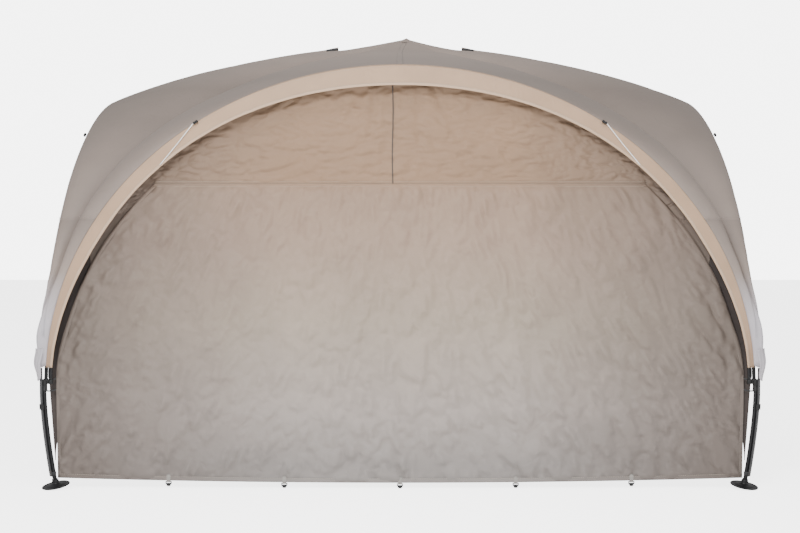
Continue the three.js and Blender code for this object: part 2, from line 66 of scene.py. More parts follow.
# Sizes in metres, read from the frame where its boxes give them -----------------------------------
LEG_RADIUS = 0.011
POLE_RADIUS = 0.0095
RIDGE_RADIUS = 0.008
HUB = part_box("leg_front_right")[1].x - LEG_RADIUS * DODECAGON
HUB_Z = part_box("hub_front_right")[0].z + 0.062
LEG_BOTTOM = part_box("leg_front_right")[0].z + 0.002
POLE_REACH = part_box("arch_pole_front")[1].x - POLE_RADIUS * OCTAGON
ARCH_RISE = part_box("arch_pole_front")[1].z - POLE_RADIUS * OCTAGON - HUB_Z
LEG_LEAN = 0.04
ARCH_LEAN = 0.06
FOOT = HUB - LEG_LEAN
SEAM_REACH = POLE_REACH + 0.022
SEAM_RISE = ARCH_RISE + 0.018
SEAM_OUT = 0.013
SEAM_LAST = math.acos(0.06 / SEAM_RISE)
CROWN_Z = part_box("crown_hub")[1].z - 0.071
RIDGE_REACH = HUB - ARCH_LEAN + SEAM_OUT
TIP_RISE = 0.062
TIP_REACH = 0.38
FABRIC = 0.003
WALL_SEAM_Z = 1.543
WALL_HEM_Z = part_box("front_wall_lower")[0].z
WALL_SEAM_Y = -(FOOT - 0.038)
WALL_HEM_Y = -(FOOT - 0.007)
VALANCE_FLARE = math.radians(16)
SIDE_FLARE = math.radians(22)      # the valances of the left and right arches lean out more
CORNER_SEAM_Z = 1.37
PATCH_RADIUS = 0.085
HOOK_SPACING = 0.587
TIP_HALF_WIDTH = 0.036
FULL_TURN = 2 * math.pi
OUTWARD = np.array([math.sqrt(0.5), -math.sqrt(0.5), 0])  # away from the middle at the front right corner
SIDEWAYS = np.array([math.sqrt(0.5), math.sqrt(0.5), 0])  # along the strap's width at that corner
STRAP_OUT = 0.019
LOOP_Z = 0.078
BUCKLE_Z = 0.42


def linear(hex_code):
    """sRGB hex to linear RGBA"""
    parts = [int(hex_code[i:i + 2], 16) / 255 for i in (1, 3, 5)]
    return tuple(c / 12.92 if c <= 0.04045 else ((c + 0.055) / 1.055) ** 2.4 for c in parts) + (1.0,)


def colour(name, description, hex_code):
    return FloatVectorProperty(name=name, description=description, subtype="COLOR", size=4,
                               min=0, max=1, default=linear(hex_code))


def metres(name, description, default):
    return FloatProperty(name=name, description=description, default=default, min=0, unit="LENGTH")


class ShelterSizes(bpy.types.PropertyGroup):
    """Sizes of the fabric and of its trim"""
    cloth: metres("Cloth", "Thickness of the coated polyester", 0.0012)
    sag: metres("Sag", "Depth of the soft wrinkles in the roof", 0.0035)
    crease: metres("Crease", "Depth of the creases in the front wall", 0.0042)
    binding: metres("Binding", "Width of the folded tape along a hem", 0.014)
    webbing: metres("Webbing", "Width of the corner straps", 0.025)
    stitch: metres("Stitch", "Pitch of the drawn stitches", 0.011)
    cord: metres("Cord", "Diameter of the valance cords", 0.005)
    creases: IntProperty(name="Creases", description="How many creases the wall has",
                         default=420, min=0, max=2000)


class ShelterColours(bpy.types.PropertyGroup):
    """Colours of the fabrics and fittings, and of the painted light and shade on the cloth"""
    canopy: colour("Canopy", "Grey-taupe roof cloth", "#9F9188")
    trim: colour("Trim", "Beige valance cloth", "#B8997E")
    wall: colour("Wall", "Light beige wall cloth", "#9D8777")
    hem: colour("Hem", "Wall cloth by the ground", "#8E8884")
    low: colour("Low", "Lower part of the wall", "#A29891")
    middle: colour("Middle", "Middle of the wall", "#A19384")
    warm: colour("Warm", "Wall cloth where light comes through the roof", "#967A62")
    # Painted light: the roof's low corners are whitened by light shining through the cloth from behind
    pale: colour("Pale", "Painted backlight on the corner cloth", "#BCB7BC")
    # Painted shade: the wall is darker towards its sides, where less light falls
    shade: colour("Shade", "Wall cloth towards its sides", "#6C615A")
    dark: colour("Dark", "Brown-black storm flap cloth", "#453D3A")
    steel: colour("Steel", "Powder-coated tube", "#1B1B1D")
    plastic: colour("Plastic", "Moulded nylon fittings", "#151516")
    webbing: colour("Webbing", "Polypropylene webbing", "#232325")
    cord: colour("Cord", "Braided cord", "#FAFAF8")


# Geometry in numpy, in metres ------------------------------------------------------------------
def turned(points, turns):
    """Points turned about Z by quarter turns"""
    p = np.array(points, float)
    for _ in range(turns % 4):
        p = np.stack([-p[..., 1], p[..., 0], p[..., 2]], -1)
    return p


def smooth(x, low, high):
    t = np.clip((x - low) / (high - low), 0, 1)
    return t * t * (3 - 2 * t)


def mix(a, b, t):
    return a + (b - a) * t


def plane_y(z):
    return -(HUB - ARCH_LEAN * (z - HUB_Z) / ARCH_RISE)


def arch_at(angle, reach, rise, out):
    z = HUB_Z + rise * np.cos(angle)
    return np.stack([reach * np.sin(angle), plane_y(z) - out, z], -1)


def pole_at(angle):
    return arch_at(angle, POLE_REACH, ARCH_RISE, 0.0)


def seam_at(angle):
    return arch_at(angle, SEAM_REACH, SEAM_RISE, SEAM_OUT)


def seam_frame(angle):
    """Tangent along the seam and the direction inwards, both in the arch plane"""
    step = 1e-3
    tangent = seam_at(angle + step) - seam_at(angle - step)
    tangent[..., 1] = 0
    tangent /= np.linalg.norm(tangent, axis=-1, keepdims=True)
    inward = np.stack([-tangent[..., 2], 0 * tangent[..., 0], tangent[..., 0]], -1)
    outwards = (inward * (seam_at(angle) - [0, 0, HUB_Z])).sum(-1, keepdims=True) > 0
    return tangent, np.where(outwards, -inward, inward)


def valance_width(angle):
    apex = 0.072 + 0.034 * np.cos(angle) ** 8
    return apex * (1 - (1 - 30 / 72) * smooth(np.abs(angle), math.pi / 3, math.pi / 2))


def valance_at(angle, down, lift=0.0, flare=VALANCE_FLARE):
    """Point on the valance a given way below the seam, lifted off its outer face"""
    _, inward = seam_frame(angle)
    p = seam_at(angle) + inward * (0.0045 + np.asarray(down)[..., None] * math.cos(flare))
    p[..., 1] -= down * math.sin(flare)
    face = inward * math.sin(flare) + np.array([0, math.cos(flare), 0])
    return p - face * np.asarray(lift)[..., None]


def canopy_edge(share):
    """Edge of the quarter from the front apex (0) round the corner to the right apex (1)"""
    share = np.asarray(share, float)
    arch = 0.485
    front = seam_at(SEAM_LAST * np.clip(share / arch, 0, 1))
    side = seam_at(SEAM_LAST * np.clip((1 - share) / arch, 0, 1))
    side = np.stack([-side[..., 1], -side[..., 0], side[..., 2]], -1)
    across = np.clip((share - arch) / (1 - 2 * arch), 0, 1)[..., None]
    corner = mix(front, side, across)
    bulge = np.sin(across[..., 0] * math.pi) * 0.008
    corner[..., 0] += bulge
    corner[..., 1] -= bulge
    return np.where((share <= arch)[..., None], front, np.where((share >= 1 - arch)[..., None], side, corner))


def roof_point(edge, r):
    x, y = np.abs(edge[..., 0]), np.abs(edge[..., 1])
    valley = np.minimum(x, y) / np.maximum(x, y)
    rounding = 0.05
    valley = 1 - (np.sqrt((1 - valley) ** 2 + rounding ** 2) - rounding)
    power = mix(np.where(y > x, 1.0, 2.0), 1.25, valley)
    root = mix(1.0, 2.05, valley ** 2)
    drop = 1 - np.clip(1 - r ** power, 0, 1) ** (1 / root)
    z = CROWN_Z - (CROWN_Z - edge[..., 2]) * drop
    tip = TIP_RISE * np.maximum(0, 1 - r * np.hypot(x, y) / TIP_REACH) ** 1.5
    return np.stack([edge[..., 0] * r, edge[..., 1] * r, z + tip], -1)


def wall_y(z):
    return mix(WALL_SEAM_Y, WALL_HEM_Y, (WALL_SEAM_Z - z) / (WALL_SEAM_Z - WALL_HEM_Z))


def wall_half_width(z):
    z = np.asarray(z, float)
    low = mix(FOOT - 0.014, SEAM_REACH - 0.035, smooth(z, 0, HUB_Z))
    share = np.maximum(z - HUB_Z, 0) / (WALL_SEAM_Z - HUB_Z)
    arch = SEAM_REACH * np.sqrt(np.clip(1 - (np.maximum(z - HUB_Z, 0) / SEAM_RISE) ** 2, 0, 1))
    return np.where(z < HUB_Z, low, arch - mix(0.035, 0.062, smooth(z, HUB_Z, 0.92)) - 0.092 * share ** 2)


def hem_z(x):
    return WALL_HEM_Z + 0.026 * (x / FOOT) ** 2


def leg_at(z):
    bend_top = HUB_Z - 0.067
    left = np.clip((bend_top - z) / (bend_top - 0.05), 0, None)
    out = FOOT + LEG_LEAN * (1 - left ** 1.5)
    return np.stack([out, -out, z + 0 * out], -1)


def wrinkles(u, v, seed, count, reach, width, depth, box):
    """Height field of short creases at random places and angles, in metres"""
    rng = np.random.default_rng(seed)
    height = np.zeros_like(u)
    for _ in range(count):
        cu, cv = rng.uniform(box[0], box[1]), rng.uniform(box[2], box[3])
        angle = rng.normal(0, 0.55) + rng.choice([0.0, 0.0, math.pi / 2, 0.8])
        length, wide = rng.uniform(*reach), rng.uniform(*width)
        amount = rng.normal(0, depth)
        du, dv = u - cu, v - cv
        along = du * math.cos(angle) + dv * math.sin(angle)
        near = np.abs(along) < 2.2 * length
        across = -du[near] * math.sin(angle) + dv[near] * math.cos(angle)
        across += 0.15 * length * (along[near] / length) ** 2 * rng.choice([-1, 1])
        height[near] += amount * np.exp(-np.sqrt(across ** 2 + 6e-6) / wide) * np.exp(
            -(along[near] / length) ** 4)
    return height


def crushed(u, v, seed, scale, stretch):
    """Crease lines of crushed cloth, about one unit deep, from band-limited noise that repeats every 4.1 m"""
    cells, step = 1024, 0.004
    rng = np.random.default_rng(seed)
    spectrum = np.fft.rfft2(rng.standard_normal((cells, cells)))
    fu = np.fft.fftfreq(cells, step)[:, None] * stretch[0]
    fv = np.fft.rfftfreq(cells, step)[None, :] * stretch[1]
    pitch = np.hypot(fu, fv) * scale
    band = np.exp(-(np.log2(np.maximum(pitch, 1e-6)) / 0.6) ** 2)
    field = np.fft.irfft2(spectrum * band, (cells, cells))
    field = 0.8 - np.abs(field / field.std())
    a, b = np.mod(np.asarray(u) / step, cells), np.mod(np.asarray(v) / step, cells)
    i, j = a.astype(int) % cells, b.astype(int) % cells
    s, t = a - np.floor(a), b - np.floor(b)
    n, m = (i + 1) % cells, (j + 1) % cells
    return (field[i, j] * (1 - s) * (1 - t) + field[n, j] * s * (1 - t)
            + field[i, m] * (1 - s) * t + field[n, m] * s * t)


def fan(u, v, centre, toward, spread, count, reach, depth, seed):
    """Tension folds that spread from a point where cloth is pulled"""
    rng = np.random.default_rng(seed)
    du, dv = u - centre[0], v - centre[1]
    radius, angle = np.hypot(du, dv), np.arctan2(dv, du)
    height = np.zeros_like(u)
    for _ in range(count):
        ray = toward + rng.uniform(-spread, spread)
        gap = np.angle(np.exp(1j * (angle - ray)))
        width = rng.uniform(0.03, 0.07)
        far = reach * rng.uniform(0.5, 1.2)
        height += rng.choice([-1, 1]) * depth * rng.uniform(0.5, 1) * np.exp(-(gap / width) ** 2) * (
            smooth(radius, 0.0, 0.06) * np.exp(-(radius / far) ** 2))
    return height


# Meshes ---------------------------------------------------------------------------------------
def linked(name, data):
    """A new object in the scene that holds the data"""
    piece = bpy.data.objects.new(name, data)
    bpy.context.scene.collection.objects.link(piece)
    return piece


def mesh_from(name, bm):
    mesh = bpy.data.meshes.new(name)
    bm.to_mesh(mesh)
    bm.free()
    return mesh


def as_plain_mesh(made):
    """The mesh of an object with its modifiers or curves worked out; the object goes"""
    mesh = bpy.data.meshes.new_from_object(made.evaluated_get(bpy.context.evaluated_depsgraph_get()))
    bpy.data.objects.remove(made, do_unlink=True)
    return mesh


def run_along(points):
    """Distance along a polyline at each of its points"""
    return np.concatenate([[0], np.cumsum(np.linalg.norm(np.diff(points, axis=0), axis=1))])


def add_mesh(name, verts, faces, uv=None):
    mesh = bpy.data.meshes.new(name)
    mesh.from_pydata([tuple(v) for v in np.asarray(verts, float)], [], faces)
    mesh.update()
    if uv is not None:
        layer = mesh.uv_layers.new(name="UVMap")
        index = np.empty(len(mesh.loops), np.int32)
        mesh.loops.foreach_get("vertex_index", index)
        layer.data.foreach_set("uv", np.asarray(uv, np.float32)[index].ravel())
    mesh.polygons.foreach_set("use_smooth", [True] * len(mesh.polygons))
    return linked(name, mesh)


def grid_faces(rows, columns, wrap=False):
    faces = []
    for i in range(rows if wrap else rows - 1):
        n = (i + 1) % rows
        for j in range(columns - 1):
            faces.append((i * columns + j, n * columns + j, n * columns + j + 1, i * columns + j + 1))
    return faces


def outward_faces(piece):
    bm = bmesh.new()
    bm.from_mesh(piece.data)
    bmesh.ops.remove_doubles(bm, verts=bm.verts, dist=1e-6)
    bmesh.ops.recalc_face_normals(bm, faces=bm.faces)
    bm.to_mesh(piece.data)
    bm.free()


def flip(piece):
    bm = bmesh.new()
    bm.from_mesh(piece.data)
    bmesh.ops.reverse_faces(bm, faces=bm.faces)
    bm.to_mesh(piece.data)
    bm.free()


def towards_front(turns):
    """The way that a side's cloth faces"""
    return turned(np.array([0, -1.0, 0.01]), turns)


def cloth_sheet(name, points, uv, facing, thickness, wrap=False):
    """A grid of points as cloth: the first side faces the given direction, the wall goes behind"""
    rows, columns = points.shape[:2]
    piece = add_mesh(name, points.reshape(-1, 3), grid_faces(rows, columns, wrap), uv.reshape(-1, 2))
    normal = Vector(np.mean([p.normal * p.area for p in piece.data.polygons], 0))
    if normal.dot(Vector(facing)) < 0:
        flip(piece)
    shell = piece.modifiers.new("Thickness", "SOLIDIFY")
    shell.thickness = thickness
    shell.offset = -1
    return piece


def frames_along(points):
    """Tangents and two directions across, carried along a polyline without twist"""
    tangents = np.gradient(points, axis=0)
    tangents /= np.linalg.norm(tangents, axis=1, keepdims=True)
    first = np.cross(tangents[0], [0, 0, 1])
    if np.linalg.norm(first) < 0.1:
        first = np.cross(tangents[0], [0, 1, 0])
    sides = [first / np.linalg.norm(first)]
    for t in tangents[1:]:
        side = sides[-1] - t * np.dot(sides[-1], t)
        sides.append(side / np.linalg.norm(side))
    sides = np.array(sides)
    return tangents, sides, np.cross(tangents, sides)


def swept(name, points, radii, sides=24):
    """A closed round bar along points, whose radius may change on the way"""
    points = np.asarray(points, float)
    radii = np.broadcast_to(radii, len(points))
    _, a, b = frames_along(points)
    turn = np.linspace(0, FULL_TURN, sides, endpoint=False)
    rings = points[:, None] + radii[:, None, None] * (
        np.cos(turn)[None, :, None] * a[:, None] + np.sin(turn)[None, :, None] * b[:, None])
    count = len(points)
    verts = list(rings.reshape(-1, 3)) + [points[0], points[-1]]
    run = run_along(points)
    uv = [(turn[j] * radii[i], run[i]) for i in range(count) for j in range(sides)]
    uv += [(0, 0), (0, run[-1])]
    faces = [(i * sides + j, i * sides + (j + 1) % sides, (i + 1) * sides + (j + 1) % sides,
              (i + 1) * sides + j) for i in range(count - 1) for j in range(sides)]
    start, end = count * sides, count * sides + 1
    faces += [(start, (j + 1) % sides, j) for j in range(sides)]
    last = (count - 1) * sides
    faces += [(end, last + j, last + (j + 1) % sides) for j in range(sides)]
    piece = add_mesh(name, verts, faces, uv)
    outward_faces(piece)
    return piece


def lathed(name, profile, base, axis, segments=48):
    """A turned solid: profile holds (radius, height) from axis to axis"""
    axis = Vector(axis).normalized()
    spin = Vector((0, 0, 1)).rotation_difference(axis).to_matrix()
    verts, faces = [], []
    for r, h in profile:
        for j in range(segments):
            a = FULL_TURN * j / segments
            verts.append(spin @ Vector((r * math.cos(a), r * math.sin(a), h)) + Vector(base))
    for i in range(len(profile) - 1):
        for j in range(segments):
            n = (j + 1) % segments
            faces.append((i * segments + j, i * segments + n, (i + 1) * segments + n, (i + 1) * segments + j))
    piece = add_mesh(name, verts, faces)
    outward_faces(piece)
    return piece


def block(name, size, basis, centre, bevel=0.0015, segments=3):
    """A box with rounded edges; basis columns are its three directions"""
    bm = bmesh.new()
    bmesh.ops.create_cube(bm, size=1)
    bmesh.ops.scale(bm, vec=Vector(size), verts=bm.verts)
    bmesh.ops.bevel(bm, geom=bm.edges[:], offset=bevel, segments=segments, affect="EDGES", profile=0.5)
    bmesh.ops.transform(bm, matrix=basis.to_4x4(), verts=bm.verts)
    bmesh.ops.translate(bm, vec=Vector(centre), verts=bm.verts)
    return linked(name, mesh_from(name, bm))


def joined(name, pieces):
    """One mesh from several closed shells"""
    bm = bmesh.new()
    for piece in pieces:
        bm.from_mesh(piece.data)
    mesh = mesh_from(name, bm)
    for piece in pieces:
        bpy.data.objects.remove(piece, do_unlink=True)
    mesh.polygons.foreach_set("use_smooth", [True] * len(mesh.polygons))
    return linked(name, mesh)


def soften(piece, angle=40):
    """Smooth shading that keeps edges sharper than the angle"""
    mesh = piece.data
    mesh.polygons.foreach_set("use_smooth", [True] * len(mesh.polygons))
    bm = bmesh.new()
    bm.from_mesh(mesh)
    for edge in bm.edges:
        edge.smooth = len(edge.link_faces) == 2 and edge.calc_face_angle(0) < math.radians(angle)
    bm.to_mesh(mesh)
    bm.free()
    return piece


def basis_of(a, b, c):
    return Matrix((Vector(a), Vector(b), Vector(c))).transposed()


def tape(name, points, across, width, thickness, facing):
    """A flat tape along points, laid across the given directions"""
    points, across = np.asarray(points, float), np.asarray(across, float)
    across = np.broadcast_to(across, points.shape)
    across = across / np.linalg.norm(across, axis=1, keepdims=True)
    rows = np.linspace(-0.5, 0.5, 5)
    grid = points[:, None] + rows[None, :, None] * width * across[:, None]
    run = run_along(points)
    uv = np.stack(np.broadcast_arrays(rows[None, :] * width, run[:, None]), -1)
    return cloth_sheet(name, grid, uv, facing, thickness)


# Materials ------------------------------------------------------------------------------------
def node(tree, kind, settings=(), **links):
    """Adds a node, sets its values and links its inputs"""
    made = tree.nodes.new(kind)
    for key, value in dict(settings).items():
        if key.startswith("in_"):
            made.inputs[int(key[3:])].default_value = value
        elif key == "ramp":
            while len(made.color_ramp.elements) < len(value):
                made.color_ramp.elements.new(0.5)
            for element, (place, shade) in zip(made.color_ramp.elements, value):
                element.position, element.color = place, shade
        else:
            setattr(made, key, value)
    for key, source in links.items():
        place = int(key[2:]) if key[1:2] == "_" else key.replace("_", " ")
        tree.links.new(source, made.inputs[place])
    return made


def shader(name, roughness, **extra):
    material = bpy.data.materials.new(name)
    material.use_nodes = True
    tree = material.node_tree
    surface = tree.nodes["Principled BSDF"]
    surface.inputs["Roughness"].default_value = roughness
    for key, value in extra.items():
        surface.inputs[key.replace("_", " ")].default_value = value
    return material, tree, surface


def shades(rgba, factor):
    return tuple(min(1.0, c * factor) for c in rgba[:3]) + (1.0,)


def coated_cloth(name, tone, thread_mm, mottle_mm, extra_tones=None, bump=0.5):
    """Plain-woven polyester, coated on one side: a fine even weave, a soft shine and crushed creases"""
    material, tree, surface = shader(name, 0.5, Specular_IOR_Level=0.3)
    place = node(tree, "ShaderNodeTexCoord").outputs
    mottle = node(tree, "ShaderNodeTexNoise", {"in_2": 1000 / mottle_mm, "in_3": 4.0, "in_4": 0.6},
                  Vector=place["Object"]).outputs["Fac"]
    tint = node(tree, "ShaderNodeValToRGB", {"ramp": [(0.3, shades(tone, 0.9)), (0.7, shades(tone, 1.06))]},
                Fac=mottle).outputs["Color"]
    if extra_tones:
        tint = extra_tones(tree, place, mottle)
    warp, weft = (node(tree, "ShaderNodeTexWave",
                       {"in_1": 1000 / thread_mm / 6.28, "in_2": 0.4, "bands_direction": direction},
                       Vector=place["UV"]).outputs["Fac"] for direction in "XY")
    weave = node(tree, "ShaderNodeMath", {"operation": "MULTIPLY"}, i_0=warp, i_1=weft).outputs[0]
    # Painted shade between the threads: the colour darkens where the weave dips
    shade_between_threads = node(tree, "ShaderNodeMapRange", {"in_3": 0.94, "in_4": 1.03}, i_0=weave).outputs[0]
    toned = node(tree, "ShaderNodeVectorMath", {"operation": "SCALE"}, i_0=tint, Scale=shade_between_threads).outputs[0]
    tree.links.new(toned, surface.inputs["Base Color"])
    crush = node(tree, "ShaderNodeTexNoise",
                 {"noise_type": "RIDGED_MULTIFRACTAL", "normalize": True,
                  "in_2": 14.0, "in_3": 3.0, "in_4": 0.7, "in_8": 1.2},
                 Vector=place["Object"]).outputs["Fac"]
    crushed = node(tree, "ShaderNodeBump", {"in_0": bump, "in_1": 0.009}, Height=crush).outputs[0]
    woven = node(tree, "ShaderNodeBump", {"in_0": 0.25, "in_1": 0.0006},
                 Height=weave, Normal=crushed).outputs[0]
    tree.links.new(woven, surface.inputs["Normal"])
    rough = node(tree, "ShaderNodeMapRange", {"in_3": 0.5, "in_4": 0.66}, i_0=mottle).outputs[0]
    tree.links.new(rough, surface.inputs["Roughness"])
    return material


def height_tones(stops, painted_side_shade=None, spread=1.0):
    """Colours that follow height in metres, blended towards a painted side shade away from the middle"""
    def apply(tree, place, mottle):
        low, high = stops[0][0], stops[-1][0]
        axes = node(tree, "ShaderNodeSeparateXYZ", i_0=place["Object"])
        share = node(tree, "ShaderNodeMapRange", {"in_1": low, "in_2": high},
                     i_0=axes.outputs["Z"]).outputs[0]
        ramp = [((h - low) / (high - low), shade) for h, shade in stops]
        tone = node(tree, "ShaderNodeValToRGB", {"ramp": ramp}, Fac=share).outputs["Color"]
        if painted_side_shade:
            away = node(tree, "ShaderNodeMath", {"operation": "ABSOLUTE"}, i_0=axes.outputs["X"]).outputs[0]
            far = node(tree, "ShaderNodeMapRange", {"in_1": 0.55, "in_2": 1.6, "in_4": spread},
                       i_0=away).outputs[0]
            tone = node(tree, "ShaderNodeMix", {"data_type": "RGBA", "in_7": painted_side_shade},
                        i_0=far, i_6=tone).outputs[2]
        patchy = node(tree, "ShaderNodeMapRange", {"in_1": 0.3, "in_2": 0.7, "in_3": 0.93, "in_4": 1.05},
                      i_0=mottle).outputs[0]
        return node(tree, "ShaderNodeVectorMath", {"operation": "SCALE"}, i_0=tone, Scale=patchy).outputs[0]
    return apply


def powder_coat(name, tone):
    """Powder-coated steel: satin black with a fine orange-peel skin and dull rubbed spots"""
    material, tree, surface = shader(name, 0.42, Specular_IOR_Level=0.3)
    place = node(tree, "ShaderNodeTexCoord").outputs["Object"]
    rub = node(tree, "ShaderNodeTexNoise", {"in_2": 18.0, "in_3": 6.0}, Vector=place).outputs["Fac"]
    tint = node(tree, "ShaderNodeValToRGB", {"ramp": [(0.35, tone), (0.75, shades(tone, 1.9))]}, Fac=rub)
    tree.links.new(tint.outputs["Color"], surface.inputs["Base Color"])
    rough = node(tree, "ShaderNodeMapRange", {"in_3": 0.34, "in_4": 0.58}, i_0=rub).outputs[0]
    tree.links.new(rough, surface.inputs["Roughness"])
    peel = node(tree, "ShaderNodeTexNoise", {"in_2": 1400.0, "in_3": 2.0}, Vector=place).outputs["Fac"]
    skin = node(tree, "ShaderNodeBump", {"in_0": 0.2, "in_1": 0.0003}, Height=peel).outputs[0]
    tree.links.new(skin, surface.inputs["Normal"])
    return material


def moulded_nylon(name, tone):
    """Injection-moulded nylon: matte black with a spark-eroded grain"""
    material, tree, surface = shader(name, 0.55)
    place = node(tree, "ShaderNodeTexCoord").outputs["Object"]
    grain = node(tree, "ShaderNodeTexVoronoi", {"in_2": 1600.0}, Vector=place).outputs["Distance"]
    cloud = node(tree, "ShaderNodeTexNoise", {"in_2": 40.0, "in_3": 3.0}, Vector=place).outputs["Fac"]
    tint = node(tree, "ShaderNodeValToRGB", {"ramp": [(0.3, tone), (0.8, shades(tone, 1.7))]}, Fac=cloud)
    tree.links.new(tint.outputs["Color"], surface.inputs["Base Color"])
    rough = node(tree, "ShaderNodeMapRange", {"in_3": 0.48, "in_4": 0.66}, i_0=cloud).outputs[0]
    tree.links.new(rough, surface.inputs["Roughness"])
    skin = node(tree, "ShaderNodeBump", {"in_0": 0.25, "in_1": 0.0003}, Height=grain).outputs[0]
    tree.links.new(skin, surface.inputs["Normal"])
    return material


def woven_webbing(name, tone, rib_mm=2.2):
    """Flat-woven polypropylene tape: ribs across the run and a dry sheen"""
    material, tree, surface = shader(name, 0.72, Sheen_Weight=0.25)
    place = node(tree, "ShaderNodeTexCoord").outputs["UV"]
    ribs, cords = (node(tree, "ShaderNodeTexWave",
                        {"in_1": 1000 / pitch_mm / 6.28, "in_2": 0.3, "bands_direction": direction},
                        Vector=place).outputs["Fac"] for pitch_mm, direction in ((rib_mm, "Y"), (3.2, "X")))
    weave = node(tree, "ShaderNodeMath", {"operation": "ADD"}, i_0=ribs, i_1=cords).outputs[0]
    # Painted light and shade on the ribs: crests lighter, troughs darker
    tint = node(tree, "ShaderNodeValToRGB", {"ramp": [(0.2, shades(tone, 0.7)), (0.9, shades(tone, 1.4))]},
                Fac=ribs)
    tree.links.new(tint.outputs["Color"], surface.inputs["Base Color"])
    skin = node(tree, "ShaderNodeBump", {"in_0": 0.5, "in_1": 0.0006}, Height=weave).outputs[0]
    tree.links.new(skin, surface.inputs["Normal"])
    return material


def braided_cord(name, tone):
    """Braided polyester: diagonal strands crossing both ways"""
    material, tree, surface = shader(name, 0.62, Sheen_Weight=0.3)
    place = node(tree, "ShaderNodeTexCoord").outputs["UV"]
    strands = node(tree, "ShaderNodeTexWave", {"in_1": 1000 / 3.0 / 6.28, "in_2": 1.2,
                                               "bands_direction": "DIAGONAL"}, Vector=place).outputs["Fac"]
    # Painted shade between the strands: the troughs are darker
    tint = node(tree, "ShaderNodeValToRGB", {"ramp": [(0.1, shades(tone, 0.72)), (0.7, tone)]}, Fac=strands)
    tree.links.new(tint.outputs["Color"], surface.inputs["Base Color"])
    skin = node(tree, "ShaderNodeBump", {"in_0": 0.6, "in_1": 0.0006}, Height=strands).outputs[0]
    tree.links.new(skin, surface.inputs["Normal"])
    return material


def thread(name, tone):
    """Bonded polyester sewing thread: slightly glossy twisted strands"""
    material, tree, surface = shader(name, 0.5, Sheen_Weight=0.2)
    place = node(tree, "ShaderNodeTexCoord").outputs["Object"]
    fuzz = node(tree, "ShaderNodeTexNoise", {"in_2": 900.0}, Vector=place).outputs["Fac"]
    tint = node(tree, "ShaderNodeValToRGB", {"ramp": [(0.3, shades(tone, 0.85)), (0.7, tone)]}, Fac=fuzz)
    tree.links.new(tint.outputs["Color"], surface.inputs["Base Color"])
    return material


MATERIALS = {}
CLOTH_THREAD_MM = 1.6


def canopy_light_and_shade(colours):
    """Roof cloth with painted light and shade: paler at the crown, painted shade down the roof's sides to the
    corner seam and just below it, then painted light from behind, paler towards the hub
    """
    # Painted shade on the roof's sides and on the corner just below its seam; painted light from behind below
    # 0.85 m
    patch, roof = shades(colours.canopy, 0.68), colours.canopy
    return height_tones([(0.5, colours.pale), (0.85, colours.pale), (1.1, shades(roof, 0.86)),
                         (1.362, patch), (CORNER_SEAM_Z, shades(roof, 0.8)), (1.9, shades(roof, 0.66)),
                         (2.12, shades(roof, 0.64)), (2.36, shades(roof, 0.94)), (2.6, roof)])


def wall_tones_light_and_shade(colours):
    """Wall cloth: grey by the ground, beige above, brown painted light where the light comes through the
    roof, and painted shade towards the sides
    """
    wall = colours.wall
    between = tuple(mix(a, b, 0.4) for a, b in zip(wall, colours.warm))
    return height_tones([(0.0, colours.hem), (0.12, colours.hem), (0.4, colours.low), (0.85, colours.middle),
                         (1.25, wall), (1.5, between), (1.56, colours.warm), (2.15, colours.warm)],
                        colours.shade, 0.85)


def make_materials(colours):
    m = MATERIALS
    for key, name, tone, mottle, tones, bump in (
            ("canopy", "coated_polyester_taupe", colours.canopy, 420, canopy_light_and_shade(colours), 0.25),
            ("trim", "coated_polyester_beige", colours.trim, 300, None, 0.3),
            ("wall", "coated_polyester_wall", colours.wall, 350, wall_tones_light_and_shade(colours), 0.45),
            ("dark", "polyester_dark_brown", colours.dark, 200, None, 0.4),
            # Painted shade: the darker inner face of the valances stands in for the shade inside them
            ("valance_inner_shade", "valance_inner_painted_shade", linear("#5F554B"), 300, None, 0.3)):
        m[key] = coated_cloth(name, tone, CLOTH_THREAD_MM, mottle, tones, bump)
    m["steel"] = powder_coat("powder_coated_steel", shades(colours.steel, 0.6))
    m["plastic"] = moulded_nylon("moulded_nylon", shades(colours.plastic, 0.6))
    m["webbing"] = woven_webbing("polypropylene_webbing", colours.webbing)
    m["tab"] = woven_webbing("polyester_tab_webbing", linear("#8F8B86"))
    m["tape"] = woven_webbing("polyester_binding_tape", linear("#4A403A"), 1.6)
    m["hem"] = woven_webbing("polyester_hem_tape", linear("#C2A58A"), 1.6)
    m["cord"] = braided_cord("braided_polyester_cord", colours.cord)
    m["thread"] = thread("bonded_thread_beige", linear("#B5A899"))
    m["thread_dark"] = thread("bonded_thread_brown", linear("#6E655F"))
    m["thread_roof"] = thread("bonded_thread_taupe", linear("#8F857E"))


